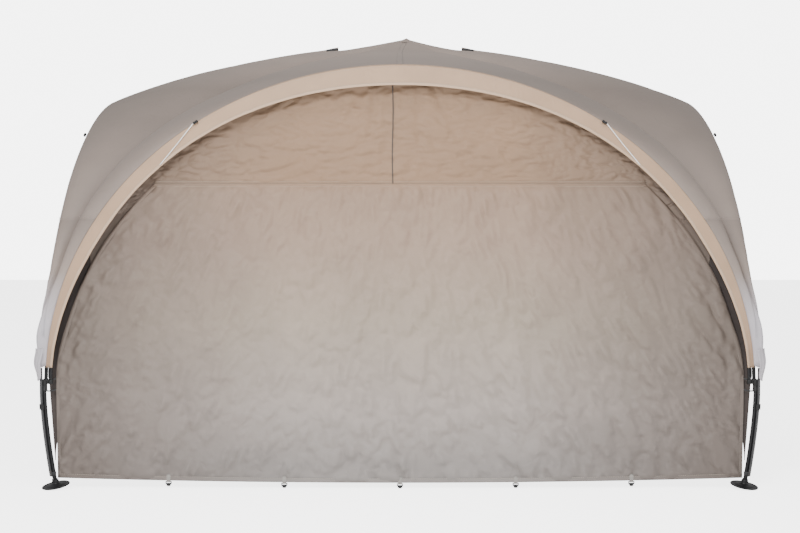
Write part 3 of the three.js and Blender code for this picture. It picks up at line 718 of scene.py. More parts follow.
# Stitches along seams -------------------------------------------------------------------------
def stitch_tree():
    """Lays short thread loops at a fixed pitch along every path of a mesh of edges"""
    tree = bpy.data.node_groups.new("Stitch line", "GeometryNodeTree")
    sockets = tree.interface
    sockets.new_socket("Geometry", in_out="INPUT", socket_type="NodeSocketGeometry")
    for name in ("Pitch", "Length", "Thread"):
        sockets.new_socket(name, in_out="INPUT", socket_type="NodeSocketFloat")
    sockets.new_socket("Material", in_out="INPUT", socket_type="NodeSocketMaterial")
    sockets.new_socket("Geometry", in_out="OUTPUT", socket_type="NodeSocketGeometry")
    given = node(tree, "NodeGroupInput").outputs
    path = node(tree, "GeometryNodeMeshToCurve", Mesh=given["Geometry"]).outputs[0]
    points = node(tree, "GeometryNodeResampleCurve", {"mode": "LENGTH"}, Curve=path, Length=given["Pitch"])
    loop = node(tree, "GeometryNodeMeshCylinder",
                {"in_0": 5, "in_1": 1, "in_2": 1, "fill_type": "TRIANGLE_FAN"},
                Radius=given["Thread"], Depth=given["Length"]).outputs[0]
    along = node(tree, "GeometryNodeInputTangent").outputs[0]
    turn = node(tree, "FunctionNodeAlignRotationToVector", {"axis": "Z"}, Vector=along).outputs[0]
    stitches = node(tree, "GeometryNodeInstanceOnPoints",
                    Points=points.outputs[0], Instance=loop, Rotation=turn)
    real = node(tree, "GeometryNodeRealizeInstances", Geometry=stitches.outputs[0]).outputs[0]
    done = node(tree, "GeometryNodeSetMaterial", Geometry=real, Material=given["Material"]).outputs[0]
    node(tree, "NodeGroupOutput", Geometry=done)
    return tree


def sew(name, paths, pitch, thread, body, thread_radius=0.0007):
    """One mesh of stitches along several paths of points, on a body"""
    tree = bpy.data.node_groups.get("Stitch line") or stitch_tree()
    verts, edges = [], []
    for path in paths:
        first = len(verts)
        verts += [tuple(p) for p in np.asarray(path)]
        edges += [(first + i, first + i + 1) for i in range(len(path) - 1)]
    mesh = bpy.data.meshes.new(name + "_path")
    mesh.from_pydata(verts, edges, [])
    path_object = linked(name + "_path", mesh)
    modifier = path_object.modifiers.new("Stitches", "NODES")
    modifier.node_group = tree
    wanted = {"Pitch": pitch, "Length": pitch * 0.62, "Thread": thread_radius, "Material": MATERIALS[thread]}
    for item in tree.interface.items_tree:
        if item.in_out == "INPUT" and item.name in wanted:
            modifier[item.identifier] = wanted[item.name]
    made = as_plain_mesh(path_object)
    made.name = name
    piece = linked(name, made)
    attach(piece, body)


def dress(piece, material, body, stands_for=()):
    """Gives a piece its material, its body and the nodes that it stands for"""
    piece.data.materials.clear()
    piece.data.materials.append(MATERIALS[material])
    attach(piece, body)
    if stands_for:
        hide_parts(*stands_for)
    return piece


def settled(points):
    """The crown's point leans a little to the right, and the corners puff out near the hubs"""
    p = np.array(points, float)
    near = np.clip(1 - np.hypot(p[..., 0], p[..., 1]) / 0.5, 0, 1)
    p[..., 0] += 0.042 * near ** 2
    z = p[..., 2]
    share = np.clip((z - HUB_Z) / SEAM_RISE, 0, 1)
    spread = np.maximum(-plane_y(z) + SEAM_OUT - SEAM_REACH * np.sqrt(1 - share ** 2), 0.01)
    across = np.clip((np.abs(p[..., 0]) - np.abs(p[..., 1])) / spread, -1, 1)
    puff = 0.045 * smooth(1.2 - z, 0, 0.4) * mix(0.45, 1, smooth(z, 0.62, 0.8)) * np.cos(across * math.pi / 2)
    for axis in (0, 1):
        p[..., axis] += np.sign(p[..., axis]) * puff * 0.7071
    return p


def surface_area(points):
    """Area of a grid of points"""
    a, b = points[1:, :-1] - points[:-1, :-1], points[:-1, 1:] - points[:-1, :-1]
    c, d = points[1:, :-1] - points[1:, 1:], points[:-1, 1:] - points[1:, 1:]
    return float(np.linalg.norm(np.cross(a, b), axis=-1).sum()
                 + np.linalg.norm(np.cross(c, d), axis=-1).sum()) / 2


# Canopy ---------------------------------------------------------------------------------------
ARC_CELLS = 120
RADIAL_CELLS = 74


def canopy_grid():
    """Rows of points round the roof, from the crown outwards, and the cloth's own coordinates"""
    rows, uvs = [], []
    radial = np.sin(np.linspace(0, 1, RADIAL_CELLS + 1) * math.pi / 2) ** 0.9
    shares = np.arange(ARC_CELLS) / ARC_CELLS
    for turns in range(4):
        edge = canopy_edge(shares)
        if turns % 2:
            edge = canopy_edge(1 - shares)
            edge = np.stack([-edge[..., 1], -edge[..., 0], edge[..., 2]], -1)
        edge = turned(edge, turns)
        start = 0.012 / np.hypot(edge[:, 0], edge[:, 1])
        r = mix(start[:, None], 1.0, radial[None, :])
        points = roof_point(edge[:, None, :] + 0 * r[..., None], r)
        run = np.concatenate([np.zeros((len(edge), 1)),
                              np.cumsum(np.linalg.norm(np.diff(points, axis=1), axis=-1), 1)], 1)
        facing_y = np.abs(edge[:, 1]) >= np.abs(edge[:, 0])
        side = np.where(facing_y[:, None], points[..., 0], points[..., 1])
        rows.append(points)
        uvs.append(np.stack([side, run], -1))
    return np.concatenate(rows), np.concatenate(uvs)


def grid_normals(points, wrap):
    if wrap:
        around = np.roll(points, -1, 0) - np.roll(points, 1, 0)
    else:
        around = np.gradient(points, axis=0)
    down = np.gradient(points, axis=1)
    normal = np.cross(around, down)
    normal /= np.maximum(np.linalg.norm(normal, axis=-1, keepdims=True), 1e-12)
    return normal


class SHELTER_OT_canopy(bpy.types.Operator):
    """Builds the roof as one continuous sheet, its ridge sleeves, crown patch, corner tips and seams"""
    bl_idname = "shelter.canopy"
    bl_label = "Canopy"

    def execute(self, context):
        sizes = context.scene.shelter_sizes
        points, uv = canopy_grid()
        base = points.copy()
        points = settled(points)
        normal = grid_normals(points, True)
        normal *= np.where((normal[..., 2:] < 0) & (points[..., 2:] > 1.6), -1, 1)
        centre = np.array([0, 0, HUB_Z])
        normal *= np.where(((points - centre) * normal).sum(-1, keepdims=True) < 0, -1, 1)
        edge_near = np.linspace(0, 1, points.shape[1])[None, :]
        flat = [points[..., 0], points[..., 1] + 0.7 * points[..., 2]]
        soft = wrinkles(flat[0], flat[1], 11, 170, (0.12, 0.5), (0.02, 0.06), sizes.sag * 0.5,
                        (-1.8, 1.8, -1.0, 3.2))
        corner = smooth(1.5 - points[..., 2], 0, 0.5)
        rise = points[..., 2]
        angle = np.arctan2(points[..., 1], points[..., 0])
        ripple = corner * 0.0016 * np.sin(angle * 190 + 5 * np.sin(rise * 9)) * smooth(rise, 0.62, 0.8)
        keep = 1 - 0.85 * smooth(edge_near, 0.93, 1.0)
        points = points + normal * ((soft + ripple) * keep)[..., None]
        canopy = cloth_sheet("canopy", points, uv, (0, 0, 1), sizes.cloth, wrap=True)
        dress(canopy, "canopy", "frame", [f"canopy_{c}" for c in CORNERS])
        round(surface_area(base), 2)
        self.ridge_sleeves(sizes)
        self.crown_patch(sizes)
        self.corner_tips(sizes)
        self.seams(sizes)
        return {"FINISHED"}

    def ridge_sleeves(self, sizes):
        """Raised pole sleeves on the left and right ridges, open towards the crown"""
        for turns in (1, 3):
            edge = canopy_edge(np.array([1.0]))[0]
            reach = np.linspace(0.225, 0.985, 70)
            line = roof_point(np.broadcast_to(edge, (len(reach), 3)), reach)
            line = turned(line, 0 if turns == 1 else 2)
            profile = []
            for s in np.linspace(-1, 1, 17):
                hump = max(0.0, math.cos(s * math.pi / 2 / 0.62)) if abs(s) < 0.62 else 0.0
                profile.append((s * 0.034, 0.0022 + 0.017 * hump ** 0.8))
            mouth = smooth(np.linspace(0, 1, len(reach)), 0.0, 0.08)
            across = np.array([0, 1.0, 0])
            tangents, _, _ = frames_along(line)
            up = np.cross(tangents, across)
            up *= np.sign(up[:, 2:3])
            points = np.array([[line[i] + across * a + up[i] * (b * mix(1.5, 1.0, mouth[i]))
                                for a, b in profile] for i in range(len(line))])
            run = np.linspace(0, 1.3, len(line))
            uv = np.stack(np.broadcast_arrays(np.array([a for a, _ in profile])[None, :], run[:, None]), -1)
            side = SIDES[turns]
            sleeve = cloth_sheet(f"ridge_sleeve_{side}", points, uv, (0, 0, 1), sizes.cloth)
            dress(sleeve, "canopy", "frame")
            for edge_side in (-1, 1):
                at = line[2] + across * edge_side * 0.021 + up[2] * 0.011
                basis = basis_of(tuple(tangents[2]), tuple(np.cross(up[2], tangents[2])), tuple(up[2]))
                end = "front" if edge_side < 0 else "back"
                port = block(f"ridge_port_{side}_{end}", (0.075, 0.009, 0.017), basis, at, 0.0044, 5)
                dress(soften(port, 40), "plastic", "frame")

    def crown_patch(self, sizes):
        """Round patch of the same cloth over the crown's point"""
        turn = np.linspace(0, FULL_TURN, 64, endpoint=False)
        reach = np.linspace(0.0006, PATCH_RADIUS, 18)
        x, y = np.cos(turn)[:, None] * reach[None, :], np.sin(turn)[:, None] * reach[None, :]
        blunt = 0.004 * (reach / PATCH_RADIUS) ** 0.35
        z = CROWN_Z + TIP_RISE * (1 - reach / TIP_REACH) ** 1.5 - 0.1755 * reach + 0.0075 - blunt
        apex = np.array([0.0, -RIDGE_REACH, HUB_Z + SEAM_RISE])
        z = np.maximum(z, roof_point(apex, reach / RIDGE_REACH)[..., 2] + 0.0035)
        points = settled(np.stack([x, y, z[None, :] + 0 * x], -1))
        uv = np.stack([x, y], -1)
        patch = cloth_sheet("crown_patch", points, uv, (0, 0, 1), sizes.cloth, wrap=True)
        dress(patch, "canopy", "frame")

    def corner_tips(self, sizes):
        """Rounded tongue of cloth at each corner, down over the hub and the strap's upper end"""
        t, s = np.linspace(-1, 1, 25)[:, None], np.linspace(0, 1, 17)[None, :]
        z = mix(0.715, 0.552, s) + 0.022 * t ** 2 * s
        wide = TIP_HALF_WIDTH * (1 - 0.5 * s ** 2) + 0 * t
        out = (0.0285 + 0.006 * np.cos(t * math.pi / 2) + 0.012 * np.sin(s * math.pi) ** 2
               + 0.0012 * np.sin(t * 9 + s * 5))
        diagonal = HUB * math.sqrt(2) + out
        x = (diagonal + t * wide) * 0.7071
        y = -(diagonal - t * wide) * 0.7071
        for turns, corner in enumerate(CORNERS):
            points = turned(np.stack([x, y, z + 0 * x], -1), turns)
            uv = np.stack([t * TIP_HALF_WIDTH + 0 * s, z + 0 * t], -1)
            tip = cloth_sheet(f"corner_tip_{corner}", points, uv, turned(OUTWARD, turns), sizes.cloth)
            dress(tip, "canopy", "frame")

    def seams(self, sizes):
        """Tapes on the front and back ridges, and stitches there, at each corner seam and round the edge"""
        stitches = []
        for turns in (0, 2):
            edge = np.broadcast_to(canopy_edge(np.array([0.0]))[0], (60, 3))
            line = settled(turned(roof_point(edge, np.linspace(0.05, 0.99, 60)), turns)) + [0, 0, 0.0022]
            band = tape(f"ridge_tape_{SIDES[turns]}", line, (1, 0, 0), 0.03, sizes.cloth, (0, 0, 1))
            dress(band, "canopy", "frame")
            stitches += [line + [s * 0.011, 0, 0.0006] for s in (-1, 1)]
        for turns in range(4):
            row = []
            for share in np.linspace(0.33, 0.67, 50):
                edge = canopy_edge(np.array([share]))[0]
                r = np.linspace(0.3, 1.0, 400)
                column = roof_point(np.broadcast_to(edge, (400, 3)), r)
                if column[-1, 2] < CORNER_SEAM_Z:
                    row.append(column[int(np.argmin(np.abs(column[:, 2] - CORNER_SEAM_Z)))])
            if len(row) > 6:
                line = turned(np.array(row), turns)
                out = line * [1, 1, 0]
                out = out / np.linalg.norm(out, axis=1, keepdims=True)
                stitches += [line + out * 0.003 + [0, 0, dz] for dz in (-0.006, 0.006)]
        for turns in range(4):
            angles = np.linspace(-SEAM_LAST, SEAM_LAST, 260)
            _, inward = seam_frame(angles)
            line = seam_at(angles) - inward * 0.0008
            line[:, 1] += 0.006
            stitches.append(turned(line, turns))
        sew("canopy_stitches", stitches, sizes.stitch, "thread_roof", "frame")


# Valances -------------------------------------------------------------------------------------
class SHELTER_OT_valances(bpy.types.Operator):
    """Builds the four valances with their bound hems, and the toggles along the roof's edge"""
    bl_idname = "shelter.valances"
    bl_label = "Valances"

    def execute(self, context):
        sizes = context.scene.shelter_sizes
        angles = np.linspace(-SEAM_LAST, SEAM_LAST, 321)
        rows = np.linspace(0, 1, 13)
        for turns, side in enumerate(SIDES):
            rng = np.random.default_rng(20 + turns)
            a = angles[:, None] + 0 * rows[None, :]
            flare = SIDE_FLARE if turns % 2 else VALANCE_FLARE
            w = mix(-0.007, valance_width(a), rows[None, :])
            run = run_along(seam_at(angles))
            wave = sum(rng.uniform(0.3, 1) * np.sin(run * k + rng.uniform(0, 6)) for k in (5, 11, 19, 31, 47))
            lift = 0.0006 * wave[:, None] * rows[None, :] ** 1.5
            lift = lift + wrinkles(run[:, None] + 0 * rows[None, :], w, 30 + turns, 90, (0.03, 0.14),
                                   (0.005, 0.014), 0.0007, (0, 4.9, 0, 0.1)) * rows[None, :]
            points = valance_at(a, w, lift, flare)
            uv = np.stack(np.broadcast_arrays(run[:, None], w), -1)
            piece = cloth_sheet(f"valance_cloth_{side}", turned(points, turns), uv,
                                towards_front(turns), sizes.cloth)
            width, over_hem = valance_width(angles), lift[:, -1] + 0.0016
            hem_top = valance_at(angles, width - sizes.binding * 0.5, over_hem, flare)
            low = valance_at(angles, width, over_hem, flare)
            binding = tape(f"valance_hem_{side}", turned(hem_top, turns), turned(low - hem_top, turns),
                           sizes.binding, 0.001, towards_front(turns))
            dress(binding, "hem", "frame")
            dress(piece, "trim", "frame", [f"valance_{side}"])
            # The inner face gets the painted shade material
            piece.data.materials.append(MATERIALS["valance_inner_shade"])
            piece.modifiers["Thickness"].material_offset = 1
            round(surface_area(points), 3)
            seam_row = valance_at(angles, width * 0 + 0.006, 0.0006, flare)
            hem_row = valance_at(angles, width - sizes.binding - 0.001, lift[:, -1] + 0.0008, flare)
            rows_of_stitches = [turned(row, turns) for row in (seam_row, hem_row)]
            sew(f"valance_stitches_{side}", rows_of_stitches, sizes.stitch, "thread", "frame")
        for side in SIDES:
            for end in ("a", "b"):
                self.toggle(side, end)
        return {"FINISHED"}

    def toggle(self, side, end):
        """A turned nylon barrel with a waist, on a short loop"""
        turns, sign = SIDES.index(side), -1 if end == "a" else 1
        angle = sign * math.asin(1.03 / SEAM_REACH)
        tangent = seam_at(angle + 0.01) - seam_at(angle - 0.01)
        tangent /= np.linalg.norm(tangent)
        centre = seam_at(angle) - [0, 0.012, 0]
        half, r = 0.013, 0.0075
        lower = [(0, -half), (r * 0.6, -half), (r * 0.9, -half * 0.86), (r, -half * 0.6),
                 (r * 0.93, -half * 0.3), (r * 0.62, -half * 0.16)]
        profile = lower + [(radius, -height) for radius, height in reversed(lower)]
        barrel = lathed(f"toggle_barrel_{side}_{end}", profile, turned(centre, turns),
                        turned(tangent, turns), 24)
        dress(soften(barrel, 50), "plastic", "frame", [f"toggle_{side}_{end}"])
        _, inward = seam_frame(np.array([angle]))
        t = np.linspace(0, 1, 16)[:, None]
        loop = centre + np.concatenate([np.cos(t * FULL_TURN), np.sin(t * FULL_TURN)], 1) @ np.array(
            [[0, -1, 0], list(inward[0])]) * 0.0064
        ring = swept(f"toggle_loop_{side}_{end}", turned(loop, turns), 0.0014, 8)
        dress(ring, "webbing", "frame")


class SHELTER_OT_cords(bpy.types.Operator):
    """Builds the two white cords that cross the front valance, from toggle to hem"""
    bl_idname = "shelter.cords"
    bl_label = "Valance cords"

    def execute(self, context):
        sizes = context.scene.shelter_sizes
        for side, sign in (("left", -1), ("right", 1)):
            corners = np.array([[sign * 1.043, -1.766, 1.845], [sign * 1.120, -1.774, 1.744],
                                [sign * 1.206, -1.784, 1.637]])
            t = np.linspace(0, 1, 17)
            path = np.where(t[:, None] < 0.5, mix(corners[0], corners[1], 2 * t[:, None]),
                            mix(corners[1], corners[2], 2 * t[:, None] - 1))
            cord = swept(f"cord_{side}", path, sizes.cord / 2, 16)
            dress(cord, "cord", "frame", [f"valance_cord_{side}"])
        return {"FINISHED"}


# Front wall -----------------------------------------------------------------------------------
def wall_folds(x, z, sizes, seed, count):
    """Depth of the wall's creases: crushed cloth, packing folds and pulls from the ties"""
    bow = z + 0.07 * x ** 2 + 0.05 * np.sin(x * 2.3 + seed)
    slant = x + 0.35 * (z - 0.8) * np.sign(x) * smooth(np.abs(x), 0, 0.8)
    crease = sizes.crease
    towards_hem = mix(1.7, 1.0, smooth(z, 0.2, 1.1))
    depth = crease * towards_hem * (1.5 * crushed(slant, bow, seed, 0.34, (0.62, 1.25))
                                    + 1.15 * crushed(slant, bow, seed + 1, 0.15, (0.6, 1.2))
                                    + 0.6 * crushed(x, bow, seed + 2, 0.075, (0.75, 1.1)))
    depth += wrinkles(x, z, seed, count, (0.05, 0.3), (0.008, 0.02), crease * 0.4, (-1.8, 1.8, 0, 1.6))
    for line in (-1.09, -0.85, -0.57, -0.28, 0.55, 0.83, 1.1):
        bend = line + 0.006 * np.sin(z * 5 + line * 7)
        depth += crease * 0.45 * np.exp(-np.sqrt((x - bend) ** 2 + 4e-6) / 0.011)
    for line, amount in ((1.056, 0.7), (0.575, 0.8), (0.61, -0.55)):
        bend = line + 0.008 * np.sin(x * 3.1 + line * 4)
        depth -= crease * amount * np.exp(-np.sqrt((z - bend) ** 2 + 6e-6) / 0.014)
    for sign in (-1, 1):
        toward = 0.0 if sign < 0 else math.pi
        for edge_x, edge_z, reach in ((1.63, 1.056, 0.42), (1.735, 0.56, 0.55), (1.71, 0.30, 0.35),
                                      (1.5, 1.3, 0.35)):
            depth += fan(x, z, (sign * edge_x, edge_z), toward, 0.9, 14, reach, crease * 1.1,
                         seed + 3 + int(edge_z * 100) + sign)
        depth += fan(x, z, (sign * 0.85, 1.553), -math.pi / 2, 1.3, 11, 0.25, crease * 1.3, seed + 77 + sign)
    return depth


class SHELTER_OT_front_wall(bpy.types.Operator):
    """Builds the lower and upper front wall, the seam between them, the storm flaps and the gussets"""
    bl_idname = "shelter.front_wall"
    bl_label = "Front wall"

    def execute(self, context):
        sizes = context.scene.shelter_sizes
        self.lower(sizes)
        self.upper(sizes)
        self.flaps(sizes)
        self.gussets(sizes)
        return {"FINISHED"}

    def gussets(self, sizes):
        """Wall cloth that closes the gap between the lower wall's top corners and the arch"""
        for side, sign in (("left", -1), ("right", 1)):
            z = np.linspace(1.08, 1.52, 60)[:, None]
            inner = wall_half_width(z) - 0.03
            outer = POLE_REACH * np.sqrt(1 - ((z - HUB_Z) / ARCH_RISE) ** 2) - 0.011
            reach = np.maximum(mix(inner + 0.02, outer, smooth(z, 1.08, 1.24)), inner + 0.02)
            x = sign * mix(inner, reach, np.linspace(0, 1, 13)[None, :])
            y = wall_y(z) + 0.0112 + 0.0008 * np.sin(x * 60 + z * 25)
            z = z + 0 * x
            gusset = cloth_sheet(f"wall_gusset_{side}", np.stack([x, y, z], -1), np.stack([x, z], -1),
                                 (0, -1, 0), sizes.cloth)
            dress(gusset, "wall", "frame")

    def lower(self, sizes):
        across, down = np.linspace(-1, 1, 331), np.linspace(0, 1, 145)
        row = mix(WALL_SEAM_Z - 0.002, WALL_HEM_Z, down)
        x = wall_half_width(row)[None, :] * across[:, None]
        z = mix(WALL_SEAM_Z + 0.004, hem_z(x), down[None, :])
        depth = wall_folds(x, z, sizes, 5, sizes.creases)
        for i in range(-2, 3):
            hook = i * HOOK_SPACING
            depth += fan(x, z, (hook, 0.035), math.pi / 2, 0.8, 7, 0.16, sizes.crease * 0.7, 60 + i)
        hold = smooth(WALL_SEAM_Z - z, 0, 0.03) * smooth(z - hem_z(x), -0.001, 0.03)
        hold = hold * smooth(1 - np.abs(across)[:, None], 0, 0.012)
        depth = np.clip(depth * hold, -0.013, 0.009)
        points = np.stack([x, wall_y(z) + depth - 0.0006, z], -1)
        uv = np.stack([x, z], -1)
        wall = cloth_sheet("wall_lower", points, uv, (0, -1, 0), sizes.cloth)
        body = "front_wall_lower"
        dress(wall, "wall", body, ["front_wall_lower"])
        hem_x = np.linspace(-1, 1, 200) * wall_half_width(np.array([0.04]))[0] * 0.999
        bottom = np.stack([hem_x, wall_y(hem_z(hem_x)) - 0.0028, hem_z(hem_x) + 0.012], -1)
        hem = tape("wall_hem", bottom, (0, 0, 1), 0.022, 0.001, (0, -1, 0))
        dress(hem, "wall", body)
        edge_z = np.linspace(0.06, WALL_SEAM_Z - 0.01, 120)
        for sign in (-1, 1):
            edge_x = sign * (wall_half_width(edge_z) - 0.009)
            line = np.stack([edge_x, wall_y(edge_z) - 0.0026, edge_z], -1)
            name = "left" if sign < 0 else "right"
            band = tape(f"wall_edge_{name}", line, (1, 0, 0.05), 0.017, 0.001, (0, -1, 0))
            dress(band, "wall", body)
        round(surface_area(points), 2)
        seam_x = np.linspace(-1.24, 1.24, 200)
        stitches = [np.stack([seam_x, wall_y(WALL_SEAM_Z - 0.012) - 0.0012 + 0 * seam_x,
                              WALL_SEAM_Z - 0.012 + 0 * seam_x], -1),
                    bottom + [0, -0.0012, 0.0085]]
        sew("wall_stitches", stitches, sizes.stitch, "thread", body)

    def upper(self, sizes):
        reach, rise = POLE_REACH - 0.022, ARCH_RISE - 0.022
        flap_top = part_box("front_wall_upper")[0].z
        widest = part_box("front_wall_upper")[1].x
        across, up = np.linspace(-1, 1, 401), np.linspace(0, 1, 81)
        column = widest * np.sin(across * math.pi / 2)
        heights = np.linspace(flap_top, WALL_SEAM_Z, 400)
        bottom = np.interp(np.abs(column) + 0.025, wall_half_width(heights)[::-1], heights[::-1])
        bottom = np.where(np.abs(column) + 0.025 < wall_half_width(heights)[-1], WALL_SEAM_Z, bottom) + 0.001
        top = HUB_Z + rise * np.sqrt(1 - (column / reach) ** 2) + 0.006
        x = column[:, None] + 0 * up[None, :]
        z = mix(bottom[:, None], top[:, None], up[None, :])
        crease = sizes.crease
        depth = crease * (1.5 * crushed(x, z, 41, 0.22, (1.5, 0.5))
                          + 1.1 * crushed(x, z, 42, 0.1, (1.4, 0.55))
                          + 0.5 * crushed(x, z, 43, 0.05, (1.2, 0.8)))
        rng = np.random.default_rng(17)
        fall = ARCH_RISE + HUB_Z - z
        for place in np.concatenate([rng.uniform(-1.1, 1.1, 26), rng.uniform(-0.25, 0.25, 12)]):
            line = place + place * rng.uniform(0.3, 1.0) * fall
            depth += rng.choice([-1, 1]) * rng.uniform(0.5, 1.3) * crease * np.exp(
                -((x - line) / rng.uniform(0.008, 0.022)) ** 2) * np.exp(-fall / rng.uniform(0.15, 0.6))
        for sign, lean in ((-1, 0.62), (1, 0.5)):
            line = sign * (0.13 + lean * (2.1 - z))
            depth += 3.2 * crease * np.exp(-((x - line) / 0.026) ** 2) * smooth(z, 1.72, 2.0)
        for sign in (-1, 1):
            depth += fan(x, z, (sign * 0.85, 1.56), math.pi / 2, 2.6, 16, 0.28, crease * 1.2, 70 + sign)
        hold = smooth(z - bottom[:, None], 0, 0.03) * smooth(top[:, None] - z, 0, 0.012)
        depth = np.clip(depth * hold, -0.0035, 0.017)
        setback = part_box("front_wall_upper")[0].y + 0.0005
        points = np.stack([x, setback + depth, z], -1)
        wall = cloth_sheet("wall_upper", points, np.stack([x, z], -1), (0, -1, 0), sizes.cloth)
        seam_x = np.linspace(-1.25, 1.25, 120)
        seam = np.stack([seam_x, setback - 0.0006 + 0 * seam_x, WALL_SEAM_Z + 0.010 + 0 * seam_x], -1)
        band = tape("wall_seam_tape", seam, (0, 0, 1), 0.014, 0.001, (0, -1, 0))
        dress(band, "wall", "frame")
        dress(wall, "wall", "frame", ["front_wall_upper"])
        tie_z = np.linspace(WALL_SEAM_Z, 2.05, 40)
        tie = np.stack([-0.037 + 0.002 * np.sin(tie_z * 14), setback - 0.0046 + 0 * tie_z, tie_z], -1)
        strap = tape("wall_tie", tie, (1, 0, 0), 0.006, 0.001, (0, -1, 0))
        dress(strap, "tape", "frame")
        round(surface_area(points), 2)
        sew("wall_seam_stitches", [seam + [0, -0.0012, dz] for dz in (-0.0045, 0.0045)],
            sizes.stitch, "thread", "frame")

    def flaps(self, sizes):
        """Dark flaps behind the wall's edges and the legs; each narrows at both ends"""
        for side, sign in (("left", -1), ("right", 1)):
            low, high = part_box(f"storm_flap_{side}")[0].z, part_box(f"storm_flap_{side}")[1].z
            z = np.linspace(low, high, 160)[:, None]
            above = np.maximum(z - HUB_Z, 0)
            past_pole = 0.004 + 0.028 * (1 - smooth(z, HUB_Z, 1.1))
            arch = POLE_REACH * np.sqrt(1 - (above / ARCH_RISE) ** 2) + past_pole
            leg = FOOT + LEG_LEAN * (z - 0.05) / (HUB_Z - 0.05) - 0.004
            outer = np.where(z < HUB_Z, leg, arch)
            overlap = outer - wall_half_width(z) + 0.012
            narrow_top = mix(1, 0.15, smooth(z, high - 0.25, high))
            width = mix(0.004, overlap, smooth(z, low, low + 0.2)) * narrow_top
            across = np.linspace(0, 1, 9)[None, :]
            x = sign * (outer - across * width)
            depth = wrinkles(x, z + 0 * x, 90 + sign, 40, (0.03, 0.1), (0.005, 0.012), 0.0009,
                             (sign * 1.75 - 0.2, sign * 1.75 + 0.2, 0.1, 1.4))
            points = np.stack([x, wall_y(z) + 0.014 + depth + 0 * x, z + 0 * x], -1)
            flap = cloth_sheet(f"flap_{side}", points, np.stack([x, z + 0 * x], -1), (0, -1, 0), sizes.cloth)
            dress(flap, "dark", "frame", [f"storm_flap_{side}"])
            round(max(surface_area(points), 0.05), 3)


# A tab's way down over the hem, through the hook and up behind: distance forward, then height
TAB_ROUTE = ((-0.0042, 0.034), (-0.0044, 0.012), (-0.0046, 0.002), (-0.0034, -0.0065), (0.0002, -0.0098),
             (0.0036, -0.0065), (0.0042, 0.002))


class SHELTER_OT_hem_hooks(bpy.types.Operator):
    """Builds the five hem hooks and the webbing tabs that they hang from"""
    bl_idname = "shelter.hem_hooks"
    bl_label = "Hem hooks"

    def execute(self, context):
        marks = []
        for i in range(5):
            x = (i - 2) * HOOK_SPACING
            hem = float(hem_z(np.array([x]))[0])
            y = float(wall_y(hem))
            top, node_name = hem - 0.004, f"hem_hook_{i + 1}"
            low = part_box(node_name)[0].z
            plate = self.hook(f"hook_{i + 1}", x, y, top, top - low)
            dress(soften(plate, 35), "plastic", node_name, [node_name])
            line = np.array([[x, y + forward, hem + height] for forward, height in TAB_ROUTE])
            tab = tape(f"hem_tab_{i + 1}", line, (1, 0, 0), 0.020, 0.0012, (0, -1, 0))
            smooth_tab = tab.modifiers.new("Round", "SUBSURF")
            smooth_tab.levels = smooth_tab.render_levels = 2
            dress(tab, "tab", "front_wall_lower")
            for sign in (-1, 1):
                marks.append([(x + sign * 0.003, y - 0.0052, hem + 0.10),
                              (x + sign * 0.030, y - 0.0048, hem + 0.026)])
            marks.append([(x - 0.007, y - 0.0052, hem + 0.030), (x + 0.007, y - 0.0052, hem + 0.030)])
        sew("hook_stitches", marks, 0.007, "thread_dark", "front_wall_lower", 0.0006)
        return {"FINISHED"}

    def hook(self, name, x, y, top, height):
        """A moulded plate with a slot for the tab, tapering to a narrower toe"""
        w, t, rounding = 0.030, 0.004, 0.0006
        outer = [(-w / 2, 0), (w / 2, 0), (w / 2, -0.45 * height), (w / 5, -height), (-w / 5, -height),
                 (-w / 2, -0.45 * height)]
        inner, slot_top, slot_low = w / 2 - 0.003, -0.003, -0.0085
        slot = [(-inner, slot_top), (inner, slot_top), (inner, slot_low), (-inner, slot_low)]
        curve = bpy.data.curves.new(name, "CURVE")
        curve.dimensions, curve.fill_mode = "2D", "BOTH"
        for ring in (outer, slot):
            spline = curve.splines.new("POLY")
            spline.points.add(len(ring) - 1)
            for point, (u, v) in zip(spline.points, ring):
                point.co = (u, v, 0, 1)
            spline.use_cyclic_u = True
        curve.extrude, curve.bevel_depth, curve.bevel_resolution = t / 2 - rounding, rounding, 2
        mesh = as_plain_mesh(linked(name, curve))
        mesh.transform(Matrix.Translation((x, y, top)) @ Matrix.Rotation(math.pi / 2, 4, "X"))
        plate = linked(name, mesh)
        outward_faces(plate)
        return plate


# Frame ----------------------------------------------------------------------------------------
FOOT_SLOPE = 1.5 * LEG_LEAN / (HUB_Z - 0.067 - 0.05)
FOOT_AXIS = Vector((FOOT_SLOPE, -FOOT_SLOPE, 1)).normalized()
FOOT_RADIUS = 0.07


def turned_vector(v, turns):
    return Vector(turned(np.array(v), turns))


